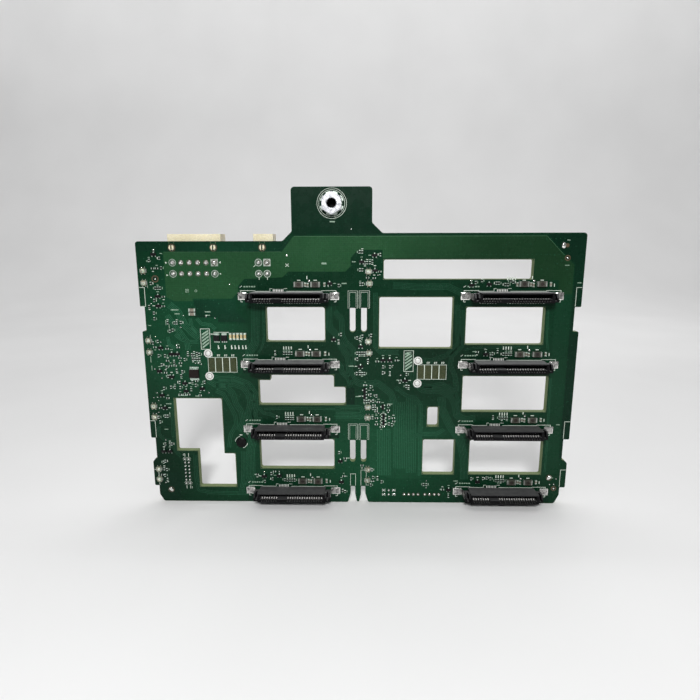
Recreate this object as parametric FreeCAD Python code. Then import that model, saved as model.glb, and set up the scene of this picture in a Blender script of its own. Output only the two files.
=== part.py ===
# Drive backplane board: a printed circuit board that stands upright behind
# two columns of four drive bays.  The drive side faces -Y.  Units: mm.
# Origin: centre of the threaded mounting nut in the top tab, at the bottom of
# its blind hole, level with the rear face of the board.  +Z up, +X to the right as seen from the drive side.
import FreeCAD, Part
import os, math

V = FreeCAD.Vector
os.makedirs("parts", exist_ok=True)

# ---------------------------------------------------------------- driving sizes
BOARD_T = 3.2            # board thickness
X_OFF = 13.5             # layout x of the nut is -13.5
Z_OFF = -156.7           # layout z of the nut is 156.7 above the bottom edge
YF = -BOARD_T            # front (drive side) face of the board
YR = 0.0                 # rear face of the board

NUT_X, NUT_Z = -13.5, 156.7
NUT_AF = 9.5             # across flats
NUT_H = 4.0              # above the front face
NUT_BORE_R = 2.25        # thread, drawn as its bore
NUT_SHANK_R = 3.0        # shank in the board hole
NUT_END = 0.9            # closed end of the nut, behind the rear face

# drive sockets
ROW_Z = (111.85, 76.75, 41.65, 6.55)      # pitch 35.1
COL_X = (-35.65, 76.0)                    # pitch 111.65
SOCK_H = 9.5             # socket height off the board
SOCK_HALF = 17.6         # half length of the slotted body
SLOT_HALF = 16.6
EAR_END = 20.2
CONTACT_PITCH = 1.27
CONTACT_W = 0.5
FINE_PITCH = 0.8
S1_U = -15.7             # first signal contact
P1_U = -2.08             # first power contact

# power headers (rear, right angle, mouths up)
PH_PITCH = 4.2
PH_ROWS_Z = (128.5, 123.0)
PH_PEG_Z = 135.8
PH_Z0, PH_Z1 = 129.7, 142.4
PH_DEPTH = 9.6
PH12_X = -82.55
PH4_X = -48.0


# ---------------------------------------------------------------- helpers
def P(x, y, z):
    """layout point (x from the centre line, z above the bottom edge) -> part frame"""
    return V(x + X_OFF, y, z + Z_OFF)


def box(x0, x1, y0, y1, z0, z1):
    x0, x1 = min(x0, x1), max(x0, x1)
    y0, y1 = min(y0, y1), max(y0, y1)
    z0, z1 = min(z0, z1), max(z0, z1)
    return Part.makeBox(x1 - x0, y1 - y0, z1 - z0, P(x0, y0, z0))


def cyl(x, z, r, y0, y1):
    return Part.makeCylinder(r, abs(y1 - y0), P(x, min(y0, y1), z), V(0, 1, 0))


def cone(x, z, r0, r1, y0, y1):
    """r0 at y0, r1 at y1, y0 < y1"""
    return Part.makeCone(r0, r1, y1 - y0, P(x, y0, z), V(0, 1, 0))


def round_wire(pts, radii, y):
    """closed wire in the plane y=const through layout points, corners rounded"""
    n = len(pts)
    if not isinstance(radii, (list, tuple)):
        radii = [radii] * n
    seg = []
    for i in range(n):
        p0, p1, p2 = pts[i - 1], pts[i], pts[(i + 1) % n]
        r = radii[i]
        a = (p0[0] - p1[0], p0[1] - p1[1])
        b = (p2[0] - p1[0], p2[1] - p1[1])
        la, lb = math.hypot(*a), math.hypot(*b)
        a = (a[0] / la, a[1] / la)
        b = (b[0] / lb, b[1] / lb)
        ang = math.acos(max(-1, min(1, a[0] * b[0] + a[1] * b[1])))
        if r <= 0 or abs(ang - math.pi) < 1e-3:
            seg.append((p1, p1, None))
            continue
        t = r / math.tan(ang / 2)
        t = min(t, 0.49 * la, 0.49 * lb)
        r = t * math.tan(ang / 2)
        s = (p1[0] + a[0] * t, p1[1] + a[1] * t)
        e = (p1[0] + b[0] * t, p1[1] + b[1] * t)
        bis = (a[0] + b[0], a[1] + b[1])
        lbis = math.hypot(*bis)
        c = (p1[0] + bis[0] / lbis * r / math.sin(ang / 2),
             p1[1] + bis[1] / lbis * r / math.sin(ang / 2))
        m = (c[0] - bis[0] / lbis * r, c[1] - bis[1] / lbis * r)
        seg.append((s, e, m))
    edges = []
    for i in range(n):
        s, e, m = seg[i]
        if m is not None:
            edges.append(Part.Arc(P(s[0], y, s[1]), P(m[0], y, m[1]), P(e[0], y, e[1])).toShape())
        ns = seg[(i + 1) % n][0]
        if math.hypot(ns[0] - e[0], ns[1] - e[1]) > 1e-6:
            edges.append(Part.LineSegment(P(e[0], y, e[1]), P(ns[0], y, ns[1])).toShape())
    return Part.Wire(edges)


def rect_pts(x0, x1, z0, z1):
    return [(x0, z0), (x1, z0), (x1, z1), (x0, z1)]


def circle_wire(x, z, r, y):
    return Part.Wire([Part.makeCircle(r, P(x, y, z), V(0, 1, 0))])


def extrude_yz(pts, x0, x1):
    """pts are (y, z) in layout, extruded along x"""
    vs = [P(x0, y, z) for y, z in pts]
    vs.append(vs[0])
    f = Part.Face(Part.makePolygon(vs))
    return f.extrude(V(x1 - x0, 0, 0))


def extrude_xy(pts, z0, z1):
    """pts are (x, y) in layout, extruded along z"""
    vs = [P(x, y, z0) for x, y in pts]
    vs.append(vs[0])
    f = Part.Face(Part.makePolygon(vs))
    return f.extrude(V(0, 0, z1 - z0))


def hexagon(x, z, af, y0, y1):
    """hexagonal prism, corners up and down"""
    r = af / math.sqrt(3)
    pts = [(x + r * math.sin(math.radians(60 * k)), z + r * math.cos(math.radians(60 * k))) for k in range(6)]
    return Part.Face(round_wire(pts, 0.0, y0)).extrude(V(0, y1 - y0, 0))


def group(solids):
    out = []
    for s in solids:
        out.extend(s.Solids)
    return Part.makeCompound(out)


count = 0


def save(name, shape):
    global count
    count += 1
    if not shape.isValid():
        print("NOT VALID", name)
    shape.exportStep("parts/%s.step" % name)
    bb = shape.BoundBox
    print("%-28s solids %3d  vol %9.1f  box %s" % (
        name, len(shape.Solids), shape.Volume,
        [round(v, 1) for v in (bb.XMin, bb.XMax, bb.YMin, bb.YMax, bb.ZMin, bb.ZMax)]))


# ---------------------------------------------------------------- circuit board
outline = [
    (-106.4, 0.0), (-108.6, 3.9), (-108.6, 9.1), (-110.9, 9.1), (-110.9, 22.9), (-109.3, 24.8),
    (-108.6, 24.8), (-108.6, 36.4), (-110.9, 36.4), (-110.9, 94.0), (-108.75, 94.0), (-108.75, 106.5),
    (-111.0, 106.5), (-111.0, 138.9), (-38.0, 138.9), (-33.3, 143.5), (-33.3, 164.5), (6.1, 164.5),
    (6.1, 147.6), (11.2, 142.65), (110.5, 142.65), (110.5, 106.4), (107.4, 106.4), (107.4, 94.0),
    (110.3, 94.0), (110.3, 36.5), (107.3, 36.5), (107.3, 24.9), (108.5, 24.9), (110.2, 23.2),
    (110.2, 9.3), (107.3, 9.3), (107.3, 5.0), (105.0, 0.0),
    # two open slots in the bottom edge with flared mouths and a finger between
    (5.0, 0.0), (3.35, 5.0), (3.35, 9.3), (0.95, 9.3), (0.95, 5.0), (0.0, 0.4), (-1.2, 0.4), (-2.1, 5.0),
    (-2.1, 9.3), (-4.6, 9.3), (-4.6, 5.0), (-6.1, 0.0),
]
radii = [1.5, 1.5, 0.3, 0.6, 1.5, 0.4,
         0.4, 0.4, 0.6, 0.8, 0.5, 0.4,
         0.6, 1.4, 1.5, 1.5, 1.8, 1.6,
         1.5, 1.5, 1.6, 0.6, 0.4, 0.5,
         0.8, 0.6, 0.4, 0.4, 0.4, 1.5,
         0.6, 0.3, 1.8, 1.8,
         1.0, 2.0, 0.5, 0.5, 2.0, 0.5, 0.5, 2.0,
         0.5, 0.5, 2.0, 1.0]

holes = []


def opening(pts, r):
    holes.append(round_wire(pts, r, YF))


# opening between the left edge and the first column, with a stepped foot
opening([(-97.2, 58.3), (-72.1, 58.3), (-72.1, 27.7), (-66.3, 27.7), (-66.3, 8.6), (-86.1, 8.6),
         (-86.1, 29.3), (-97.2, 29.3)], [0.9, 0.9, 0.6, 0.9, 0.9, 0.9, 0.6, 0.9])
opening(rect_pts(-47.1, -17.5, 88.8, 106.3), 1.2)                       # under socket 1
opening([(-52.2, 55.1), (-7.2, 55.1), (-7.2, 64.7), (-13.2, 64.7), (-13.2, 71.1), (-46.0, 71.1),
         (-46.0, 68.3), (-52.2, 68.3)], [1.2, 1.2, 0.9, 0.6, 1.2, 1.2, 0.6, 0.9])   # under socket 3
opening(rect_pts(-52.7, -13.3, 19.4, 36.0), 1.2)                        # under socket 5
opening(rect_pts(12.0, 85.5, 120.3, 129.8), 1.0)                        # long top opening
opening(rect_pts(10.0, 46.9, 85.4, 111.3), 1.0)                         # middle opening
opening(rect_pts(53.6, 92.7, 87.4, 106.3), 1.0)                         # under socket 2
opening(rect_pts(53.3, 96.8, 51.7, 70.7), 0.8)                          # under socket 4
opening(rect_pts(58.4, 96.7, 16.7, 35.9), 1.0)                          # under socket 6
opening(rect_pts(33.7, 50.4, 16.5, 36.1), 1.0)                          # square
opening(rect_pts(35.6, 41.3, 43.4, 54.0), 1.2)                          # small one
for z0, z1 in ((93.6, 105.9), (23.4, 35.6)):                            # bay guide slots
    for x0, x1 in ((-4.9, -2.0), (0.85, 3.75)):
        opening(rect_pts(x0, x1, z0, z1), [1.35, 1.35, 0.4, 0.4])

holes.append(circle_wire(NUT_X, NUT_Z, NUT_SHANK_R + 0.03, YF))
PEG12 = (PH12_X - 10.35, PH12_X + 10.35)
PH12_COLS = [PH12_X + PH_PITCH * (k - 2.5) for k in range(6)]
PH4_COLS = [PH4_X - 2.1, PH4_X + 2.1]
for x in PEG12 + (PH4_X,):
    holes.append(circle_wire(x, PH_PEG_Z, 1.5, YF))
for x in PH12_COLS + PH4_COLS:
    for z in PH_ROWS_Z:
        holes.append(circle_wire(x, z, 0.85, YF))
PLUG = (-62.7, 34.15)
holes.append(circle_wire(PLUG[0], PLUG[1], 1.6, YF))
DATA = {"left": (-70.55, 76.3), "right": (37.25, 72.75)}       # centres of the two data receptacles
DATA_PEGS = {"left": ((-77.8, 82.4), (-77.7, 70.4)), "right": ((29.95, 78.75), (29.95, 66.75))}
for side in DATA:
    for x, z in DATA_PEGS[side]:
        holes.append(circle_wire(x, z, 1.1, YF))
SH_COLS = (-93.55, -91.55)
SH_ROWS = [24.45 - 1.98 * k for k in range(8)]
for x in SH_COLS:
    for z in SH_ROWS:
        holes.append(circle_wire(x, z, 0.45, YF))

board = Part.Face(round_wire(outline, radii, YF)).extrude(V(0, BOARD_T, 0))
board = board.cut(Part.makeCompound([Part.Face(w).extrude(V(0, BOARD_T + 2, 0)).translate(V(0, -1, 0)) for w in holes]))
save("circuit_board", board)


# ---------------------------------------------------------------- drive sockets
def S(xc, zc, u0, u1, h0, h1, v0, v1):
    return box(xc + u0, xc + u1, YF - h1, YF - h0, zc + v0, zc + v1)


def prof(xc, zc, pts, u0, u1):
    """pts are (h, v): height off the board and offset up, extruded along the socket"""
    return extrude_yz([(YF - h, zc + v) for h, v in pts], xc + u0, xc + u1)


CONTACTS = [S1_U + CONTACT_PITCH * k for k in range(7)] + [P1_U + CONTACT_PITCH * k for k in range(15)]
FINE_C = (S1_U + 6 * CONTACT_PITCH + P1_U) / 2
FINE = [FINE_C + FINE_PITCH * (k - 3) for k in range(7)]


def socket_housing(xc, zc):
    # body with a thicker band round the mouth
    body = prof(xc, zc, [(0.0, -2.3), (7.0, -2.3), (7.25, -2.55), (9.25, -2.55), (9.5, -2.3),
                         (9.5, 2.3), (9.25, 2.55), (7.25, 2.55), (7.0, 2.3), (0.0, 2.3)],
                -SOCK_HALF, SOCK_HALF)
    # ears at both ends, cut back beside the board where the clips sit
    ear = [(0.0, -2.3), (8.3, -2.3), (8.3, -0.2), (6.7, 1.8), (3.4, 1.8), (3.4, 0.6), (0.0, 0.6)]
    e1 = prof(xc, zc, ear, -EAR_END, -SOCK_HALF)
    e2 = prof(xc, zc, ear, SOCK_HALF, EAR_END)
    h = body.fuse([e1, e2])
    cuts = []
    # slot for the drive's tongue with a sloping lead-in at its upper lip
    cuts.append(prof(xc, zc, [(1.2, -0.65), (9.6, -0.65), (9.6, 2.02), (8.3, 1.35), (1.2, 1.35)],
                     -SLOT_HALF, SLOT_HALF))
    # channels for the 22 main contacts in the lower wall
    for u in CONTACTS:
        cuts.append(prof(xc, zc, [(-0.1, -1.78), (9.6, -1.78), (9.6, -0.6), (1.25, -0.6), (1.25, -1.4), (-0.1, -1.4)],
                         u - 0.33, u + 0.33))
    # channels for the 7 fine contacts in the upper wall
    for u in FINE:
        cuts.append(S(xc, zc, u - 0.24, u + 0.24, -0.1, 7.4, 1.3, 1.8))
    # relief under the body for the tails
    cuts.append(S(xc, zc, -16.3, -7.5, -0.1, 0.35, -2.4, -1.4))
    cuts.append(S(xc, zc, -2.7, 16.3, -0.1, 0.35, -2.4, -1.4))
    cuts.append(S(xc, zc, FINE[0] - 0.5, FINE[-1] + 0.5, -0.1, 0.35, 1.3, 2.4))
    # side grooves on the ears
    cuts.append(S(xc, zc, -SOCK_HALF - 1.75, -SOCK_HALF - 0.75, 4.6, 8.5, -1.5, 1.9))
    cuts.append(S(xc, zc, SOCK_HALF + 0.75, SOCK_HALF + 1.75, 4.6, 8.5, -1.5, 1.9))
    h = h.cut(Part.makeCompound(cuts))
    # low rib on the lower lip between the signal and power contacts
    rib = prof(xc, zc, [(8.6, -0.66), (9.5, -0.66), (9.5, -0.45), (9.3, -0.3), (8.8, -0.3)], -7.3, -2.9)
    h = h.fuse(rib)
    return h.removeSplitter()


MAIN = [(0.0, -3.4), (0.2, -3.4), (0.2, -1.72), (4.3, -1.72), (6.2, -0.85), (7.3, -1.35), (8.5, -1.62),
        (8.5, -1.40), (7.3, -1.13), (6.2, -0.55), (4.2, -1.50), (0.0, -1.50)]
FINEP = [(0.0, 3.3), (0.2, 3.3), (0.2, 1.74), (6.0, 1.74), (7.0, 1.5), (7.0, 1.3), (6.0, 1.54), (0.0, 1.54)]


def socket_contacts(xc, zc):
    out = [prof(xc, zc, MAIN, u - CONTACT_W / 2, u + CONTACT_W / 2) for u in CONTACTS]
    out += [prof(xc, zc, FINEP, u - 0.17, u + 0.17) for u in FINE]
    return out


def bent_strip(xc, zc, s):
    """hold-down clip: upright against the ear, bent to a foot on the board"""
    t, r = 0.3, 0.9
    u0, u1, h1 = EAR_END, 25.0, 5.2
    # outline in (u, h), s is the side (+1 right, -1 left)
    def q(u, h):
        return P(xc + s * u, YF - h, zc - 1.45)
    c = math.cos(math.radians(45))
    # inner corner of the bend is at (u0 + t + r, t + r) from its centre
    cu, ch = u0 + t + r, t + r
    e = [
        Part.LineSegment(q(u0, h1), q(u0, ch)).toShape(),
        Part.Arc(q(u0, ch), q(cu - (t + r) * c, ch - (t + r) * c), q(cu, 0.0)).toShape(),
        Part.LineSegment(q(cu, 0.0), q(u1, 0.0)).toShape(),
        Part.LineSegment(q(u1, 0.0), q(u1, t)).toShape(),
        Part.LineSegment(q(u1, t), q(cu, t)).toShape(),
        Part.Arc(q(cu, t), q(cu - r * c, ch - r * c), q(u0 + t, ch)).toShape(),
        Part.LineSegment(q(u0 + t, ch), q(u0 + t, h1)).toShape(),
        Part.LineSegment(q(u0 + t, h1), q(u0, h1)).toShape(),
    ]
    return Part.Face(Part.Wire(e)).extrude(V(0, 0, 2.9))


n = 0
first = None
for zc in ROW_Z:
    for xc in COL_X:
        n += 1
        if first is None:
            first = (socket_housing(xc, zc), xc, zc)
            hs = first[0]
        else:
            hs = first[0].copy()
            hs.translate(V(xc - first[1], 0, zc - first[2]))
        save("drive_socket_%d" % n, hs)
        save("drive_socket_contacts_%d" % n, group(socket_contacts(xc, zc)))
        save("drive_socket_clips_%d" % n, group([bent_strip(xc, zc, -1), bent_strip(xc, zc, 1)]))


# ---------------------------------------------------------------- mounting nut
nut = hexagon(NUT_X, NUT_Z, NUT_AF, YF - NUT_H, YF)
cap = cone(NUT_X, NUT_Z, NUT_AF / 2 * 0.99, NUT_AF / 2 * 0.99 + NUT_H * 1.9, YF - NUT_H, YF)   # chamfered corners
nut = nut.common(cap)
end = cyl(NUT_X, NUT_Z, NUT_SHANK_R, YR - 0.6, YR + NUT_END)
end = end.common(cone(NUT_X, NUT_Z, NUT_SHANK_R + 0.9, NUT_SHANK_R - 0.35, YR - 0.35, YR + NUT_END))   # bevelled rim
nut = nut.fuse(cyl(NUT_X, NUT_Z, NUT_SHANK_R, YF - 0.5, YR)).fuse(end)
nut = nut.cut(cyl(NUT_X, NUT_Z, NUT_BORE_R, YF - NUT_H - 1, YR))        # blind: its mouth is on the drive side
nut = nut.cut(cone(NUT_X, NUT_Z, NUT_BORE_R + 0.35, NUT_BORE_R - 0.15, YF - NUT_H - 0.001, YF - NUT_H + 0.5))
save("mounting_nut", nut.removeSplitter())


# ---------------------------------------------------------------- power headers
def split_peg(x):
    shaft = cyl(x, PH_PEG_Z, 1.3, YF - 0.35, YR + 0.2)
    barb = cone(x, PH_PEG_Z, 1.15, 1.42, YF - 1.1, YF - 0.35)
    peg = shaft.fuse(barb)
    return peg.cut(box(x - 0.38, x + 0.38, YF - 2, YF + 2.4, PH_PEG_Z - 2, PH_PEG_Z + 2))


def power_header(cols, xc, half, pegs, latch_half):
    body = box(xc - half, xc + half, YR, YR + PH_DEPTH, PH_Z0, PH_Z1)
    ys = (YR + 2.7, YR + 6.9)
    cuts = []
    for i, x in enumerate(cols):
        for j, y in enumerate(ys):
            w = 1.72
            if (i + j) % 2:
                cuts.append(box(x - w, x + w, y - w, y + w, PH_Z0 + 1.6, PH_Z1 + 1))
            else:
                c = 0.8
                cuts.append(extrude_xy([(x - w + c, y - w), (x + w - c, y - w), (x + w, y - w + c), (x + w, y + w),
                                        (x - w, y + w), (x - w, y - w + c)], PH_Z0 + 1.6, PH_Z1 + 1))
            # the pin's own hole through the back wall
            cuts.append(box(x - 0.5, x + 0.5, y - 0.5, y + 0.5, PH_Z0 - 1, PH_Z0 + 2))
    # recess in the underside between the end cheeks
    cuts.append(box(xc - half + 1.2, xc + half - 1.2, YR - 0.1, YR + 0.35, PH_Z0 - 0.1, PH_PEG_Z - 2.4))
    body = body.cut(Part.makeCompound(cuts))
    # latch wedge on the rear side
    w = extrude_yz([(YR + PH_DEPTH - 0.1, PH_Z1 - 3.2), (YR + PH_DEPTH + 1.3, PH_Z1 - 3.4), (YR + PH_DEPTH - 0.1, PH_Z1 - 0.9)],
                   xc - latch_half, xc + latch_half)
    body = body.fuse([w] + [split_peg(p) for p in pegs])
    return body.removeSplitter()


def power_pin(x, row):
    y = (YR + 2.7, YR + 6.9)[row]
    z = PH_ROWS_Z[row]
    a = 0.5
    run = box(x - a, x + a, y - a, y + a, z - a, PH_Z1 - 2.2)
    tip = Part.makeBox(0.7, 0.7, 0.35, P(x - 0.35, y - 0.35, PH_Z1 - 2.2))
    leg = box(x - a, x + a, YF - 0.9, y + a, z - a, z + a)
    end = box(x - 0.34, x + 0.34, YF - 1.3, YF - 0.9, z - 0.34, z + 0.34)
    s = run.fuse([leg, tip, end]).removeSplitter()
    # rounded outside of the bend
    ed = [e for e in s.Edges if abs(e.BoundBox.ZMin - (z - a + Z_OFF)) < 1e-4 and abs(e.BoundBox.ZMax - (z - a + Z_OFF)) < 1e-4
          and abs(e.BoundBox.YMin - (y + a)) < 1e-4 and abs(e.BoundBox.YMax - (y + a)) < 1e-4]
    if ed:
        s = s.makeFillet(0.6, ed)
    return s


save("power_header_12_body", power_header(PH12_COLS, PH12_X, 13.3, PEG12, 2.2))
save("power_header_12_pins", group([power_pin(x, r) for x in PH12_COLS for r in (0, 1)]))
save("power_header_4_body", power_header(PH4_COLS, PH4_X, 4.9, (PH4_X,), 1.8))
save("power_header_4_pins", group([power_pin(x, r) for x in PH4_COLS for r in (0, 1)]))

# ---------------------------------------------------------------- hole plug
plug = cyl(PLUG[0], PLUG[1], 2.75, YF - 0.7, YF)
dome = Part.makeSphere(6.0, P(PLUG[0], YF - 1.25 + 6.0, PLUG[1]))
plug = cyl(PLUG[0], PLUG[1], 2.75, YF - 1.25, YF).common(dome)
plug = plug.fuse([cyl(PLUG[0], PLUG[1], 1.5, YF - 0.2, YR + 0.3),
                  cone(PLUG[0], PLUG[1], 1.95, 1.2, YR + 0.15, YR + 1.5)])
plug = plug.cut(box(PLUG[0] - 0.3, PLUG[0] + 0.3, YF + 1.0, YR + 3, PLUG[1] - 3, PLUG[1] + 3))
save("hole_plug", plug.removeSplitter())

# ---------------------------------------------------------------- data receptacles (rear)
for side, (cx, cz) in DATA.items():
    hx, hz, d = 8.6, 4.9, 9.2
    body = box(cx - hx, cx + hx, YR, YR + d, cz - hz, cz + hz)
    mouth = box(cx - 7.4, cx + 7.4, YR + 1.6, YR + d + 1, cz - 2.6, cz + 2.6)
    key = box(cx - 1.2, cx + 1.2, YR + 5.0, YR + d + 1, cz + 2.5, cz + 3.7)
    tongue = box(cx - 6.4, cx + 6.4, YR + 1.5, YR + d - 1.6, cz - 0.55, cz + 0.55)
    # channels in the tongue's root for the contacts
    cuts = []
    uu = [0.8 * (k - 7.5) * 0.98 for k in range(16)]
    for u in uu:
        for s in (1, -1):
            z0, z1 = cz + s * 0.55, cz + s * 0.83
            cuts.append(box(cx + u - 0.16, cx + u + 0.16, YR - 0.1, YR + 1.7, z0, z1))
            cuts.append(box(cx + u - 0.16, cx + u + 0.16, YR - 0.1, YR + 0.28, z1, cz + s * (hz + 0.1)))
    body = body.cut([mouth, key]).fuse(tongue).cut(Part.makeCompound(cuts))
    save("data_receptacle_%s" % side, body.removeSplitter())
    con = []
    for u in uu:
        for s in (1, -1):
            pts = [(YR, s * 5.5), (YR + 0.2, s * 5.5), (YR + 0.2, s * 0.8), (YR + 7.0, s * 0.8), (YR + 7.0, s * 0.58),
                   (YR, s * 0.58)]
            con.append(extrude_yz([(y, cz + z) for y, z in pts], cx + u - 0.13, cx + u + 0.13))
    save("data_receptacle_contacts_%s" % side, group(con))
    # sheet-metal cage: sleeve round the housing, flanges with board pegs
    t = 0.4
    g = 0.9                                      # the sleeve starts above the tails
    cage = box(cx - hx - t, cx + hx + t, YR + g, YR + d + 0.5, cz - hz - t, cz + hz + t).cut(
        box(cx - hx, cx + hx, YR - 1, YR + d + 2, cz - hz, cz + hz))
    for (px, pz) in DATA_PEGS[side]:
        s = 1 if pz > cz else -1
        z_in = cz + s * (hz + t)
        f = box(px - 1.5, px + 1.0, YR, YR + t, pz - s * 1.0, pz + s * 1.6)
        w = box(px - 1.5, px + 1.0, YR, YR + g + 3.0, min(z_in, z_in - s * t), max(z_in, z_in - s * t))
        br = box(px - 1.5, px + 1.0, YR, YR + t, z_in - s * t, pz)
        peg = cyl(px, pz, 0.95, YF - 0.35, YR + 0.1)
        cage = cage.fuse([f, w, br, peg])
    cage = cage.cut(box(cx - hx, cx + hx, YR - 0.01, YR + d + 2, cz - hz, cz + hz))
    save("data_receptacle_cage_%s" % side, cage.removeSplitter())

# ---------------------------------------------------------------- service header (rear, 2 x 8)
zc = (SH_ROWS[0] + SH_ROWS[-1]) / 2
xc = sum(SH_COLS) / 2
hz = (SH_ROWS[0] - SH_ROWS[-1]) / 2 + 2.2
body = box(xc - 2.9, xc + 2.9, YR, YR + 5.6, zc - hz, zc + hz).cut(
    box(xc - 2.2, xc + 2.2, YR + 1.5, YR + 7, zc - hz + 0.8, zc + hz - 0.8))
body = body.cut(box(xc + 2, xc + 4, YR + 2.6, YR + 7, zc - 1.3, zc + 1.3))
body = body.cut(Part.makeCompound([box(x - 0.26, x + 0.26, YR - 1, YR + 2, z - 0.26, z + 0.26) for x in SH_COLS for z in SH_ROWS]))
save("service_header_body", body)
save("service_header_pins", group([box(x - 0.25, x + 0.25, YF - 0.7, YR + 5.0, z - 0.25, z + 0.25)
                                   for x in SH_COLS for z in SH_ROWS]))


# ---------------------------------------------------------------- small parts on the drive side
def F(x, z, w, l, h0, h1):
    """box standing on the front face: w along x, l along z"""
    return box(x - w / 2, x + w / 2, YF - h1, YF - h0, z - l / 2, z + l / 2)


# microcontroller: flat package with leads on its upper and lower sides
MCU = (-85.5, 71.75)
mw, ml = 5.0, 4.4
b = F(MCU[0], MCU[1], mw, ml, 0.12, 1.15)
b = b.cut(cyl(MCU[0] - 1.8, MCU[1] + 1.5, 0.35, YF - 1.3, YF - 1.05))
save("microcontroller_body", b)
leads = []
for k in range(8):
    u = MCU[0] + 0.58 * (k - 3.5)
    for s in (1, -1):
        zz = MCU[1]
        pts = [(YF, s * 3.5), (YF - 0.15, s * 3.5), (YF - 0.15, s * 2.85), (YF - 0.7, s * 2.55), (YF - 0.7, s * 2.2),
               (YF - 0.55, s * 2.2), (YF - 0.55, s * 2.45), (YF, s * 2.75)]
        leads.append(extrude_yz([(y, zz + z) for y, z in pts], u - 0.16, u + 0.16))
save("microcontroller_leads", group(leads))

# three-lead transistors: (x, z, side of the single lead: u up, d down, l left, r right)
TRANSISTORS = [
    (-102.1, 132.6, "u"), (-101.5, 111.8, "u"), (-101.6, 107.0, "u"), (-102.1, 85.4, "u"),
    (-96.6, 82.1, "u"), (-93.7, 82.1, "u"), (-103.5, 73.1, "u"), (-97.4, 70.0, "d"),
    (-90.7, 66.6, "u"), (-90.3, 62.4, "u"), (-81.8, 63.7, "u"), (-103.2, 60.1, "u"), (-102.2, 53.2, "u"),
    (-104.5, 28.9, "u"), (-101.3, 28.9, "u"),
    (7.4, 132.0, "u"), (1.0, 128.8, "u"), (7.6, 124.6, "u"), (0.6, 86.3, "u"), (0.6, 75.8, "u"),
    (12.1, 79.2, "u"), (15.5, 79.2, "u"), (23.5, 68.4, "u"),
    (2.7, 63.0, "l"), (2.7, 59.8, "l"), (12.2, 54.1, "l"), (12.7, 48.9, "l"), (12.7, 45.4, "l"),
    (-10.1, 23.8, "u"), (-9.6, 11.9, "u"), (48.1, 7.7, "u"), (55.5, 117.3, "u"),
    (-14.9, 118.2, "u"), (-13.1, 89.9, "u"), (64.2, 117.8, "u"), (64.3, 82.4, "u"), (63.4, 12.5, "u"),
    (-51.1, 14.9, "u"), (-43.0, 15.3, "u"),
]
tb, tl = [], []
for x, z, d in TRANSISTORS:
    vert = d in "lr"
    s = 1 if d in "ur" else -1
    w, l = (1.3, 2.5) if vert else (2.5, 1.3)
    tb.append(F(x, z, w, l, 0.1, 1.0))
    for off, side in ((0.0, s), (0.85, -s), (-0.85, -s)):
        # gull-wing lead: run out from the body side and down to the board
        a, bq = 0.65, 1.2
        pts = [(0.0, bq), (0.14, bq), (0.14, a + 0.22), (0.55, a + 0.14), (0.55, a), (0.41, a), (0.0, a + 0.12)]
        if vert:
            q = [(x + side * r, YF - h) for h, r in pts]
            tl.append(extrude_xy(q, z + off - 0.22, z + off + 0.22))
        else:
            q = [(YF - h, z + side * r) for h, r in pts]
            tl.append(extrude_yz(q, x + off - 0.22, x + off + 0.22))
save("transistor_bodies", group(tb))
save("transistor_leads", group(tl))

# two larger regulators side by side: wide tab on top, three leads below
REG = [(-72.8, 90.5), (-69.0, 90.5)]
rb, rl = [], []
for x, z in REG:
    rb.append(F(x, z, 3.0, 2.9, 0.05, 1.5))
    rl.append(F(x, z + 1.45 + 0.45, 2.4, 0.9, 0.0, 0.4))
    for o in (-1.0, 0.0, 1.0):
        rl.append(F(x + o, z - 1.45 - 0.4, 0.5, 0.8, 0.0, 0.35))
save("regulator_bodies", group(rb))
save("regulator_leads", group(rl))


def chips(items, ln, wd, th, term, flat=0.0):
    """chips with metal ends: items are (x, z, 'h' or 'v')"""
    bodies, ends = [], []
    for x, z, o in items:
        if o == "h":
            bodies.append(F(x, z, ln - 2 * term, wd - 0.06, 0.05, th - flat))
            for s in (1, -1):
                ends.append(F(x + s * (ln - term) / 2, z, term, wd, 0.0, th))
        else:
            bodies.append(F(x, z, wd - 0.06, ln - 2 * term, 0.05, th - flat))
            for s in (1, -1):
                ends.append(F(x, z + s * (ln - term) / 2, wd, term, 0.0, th))
    return group(bodies), group(ends)


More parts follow.
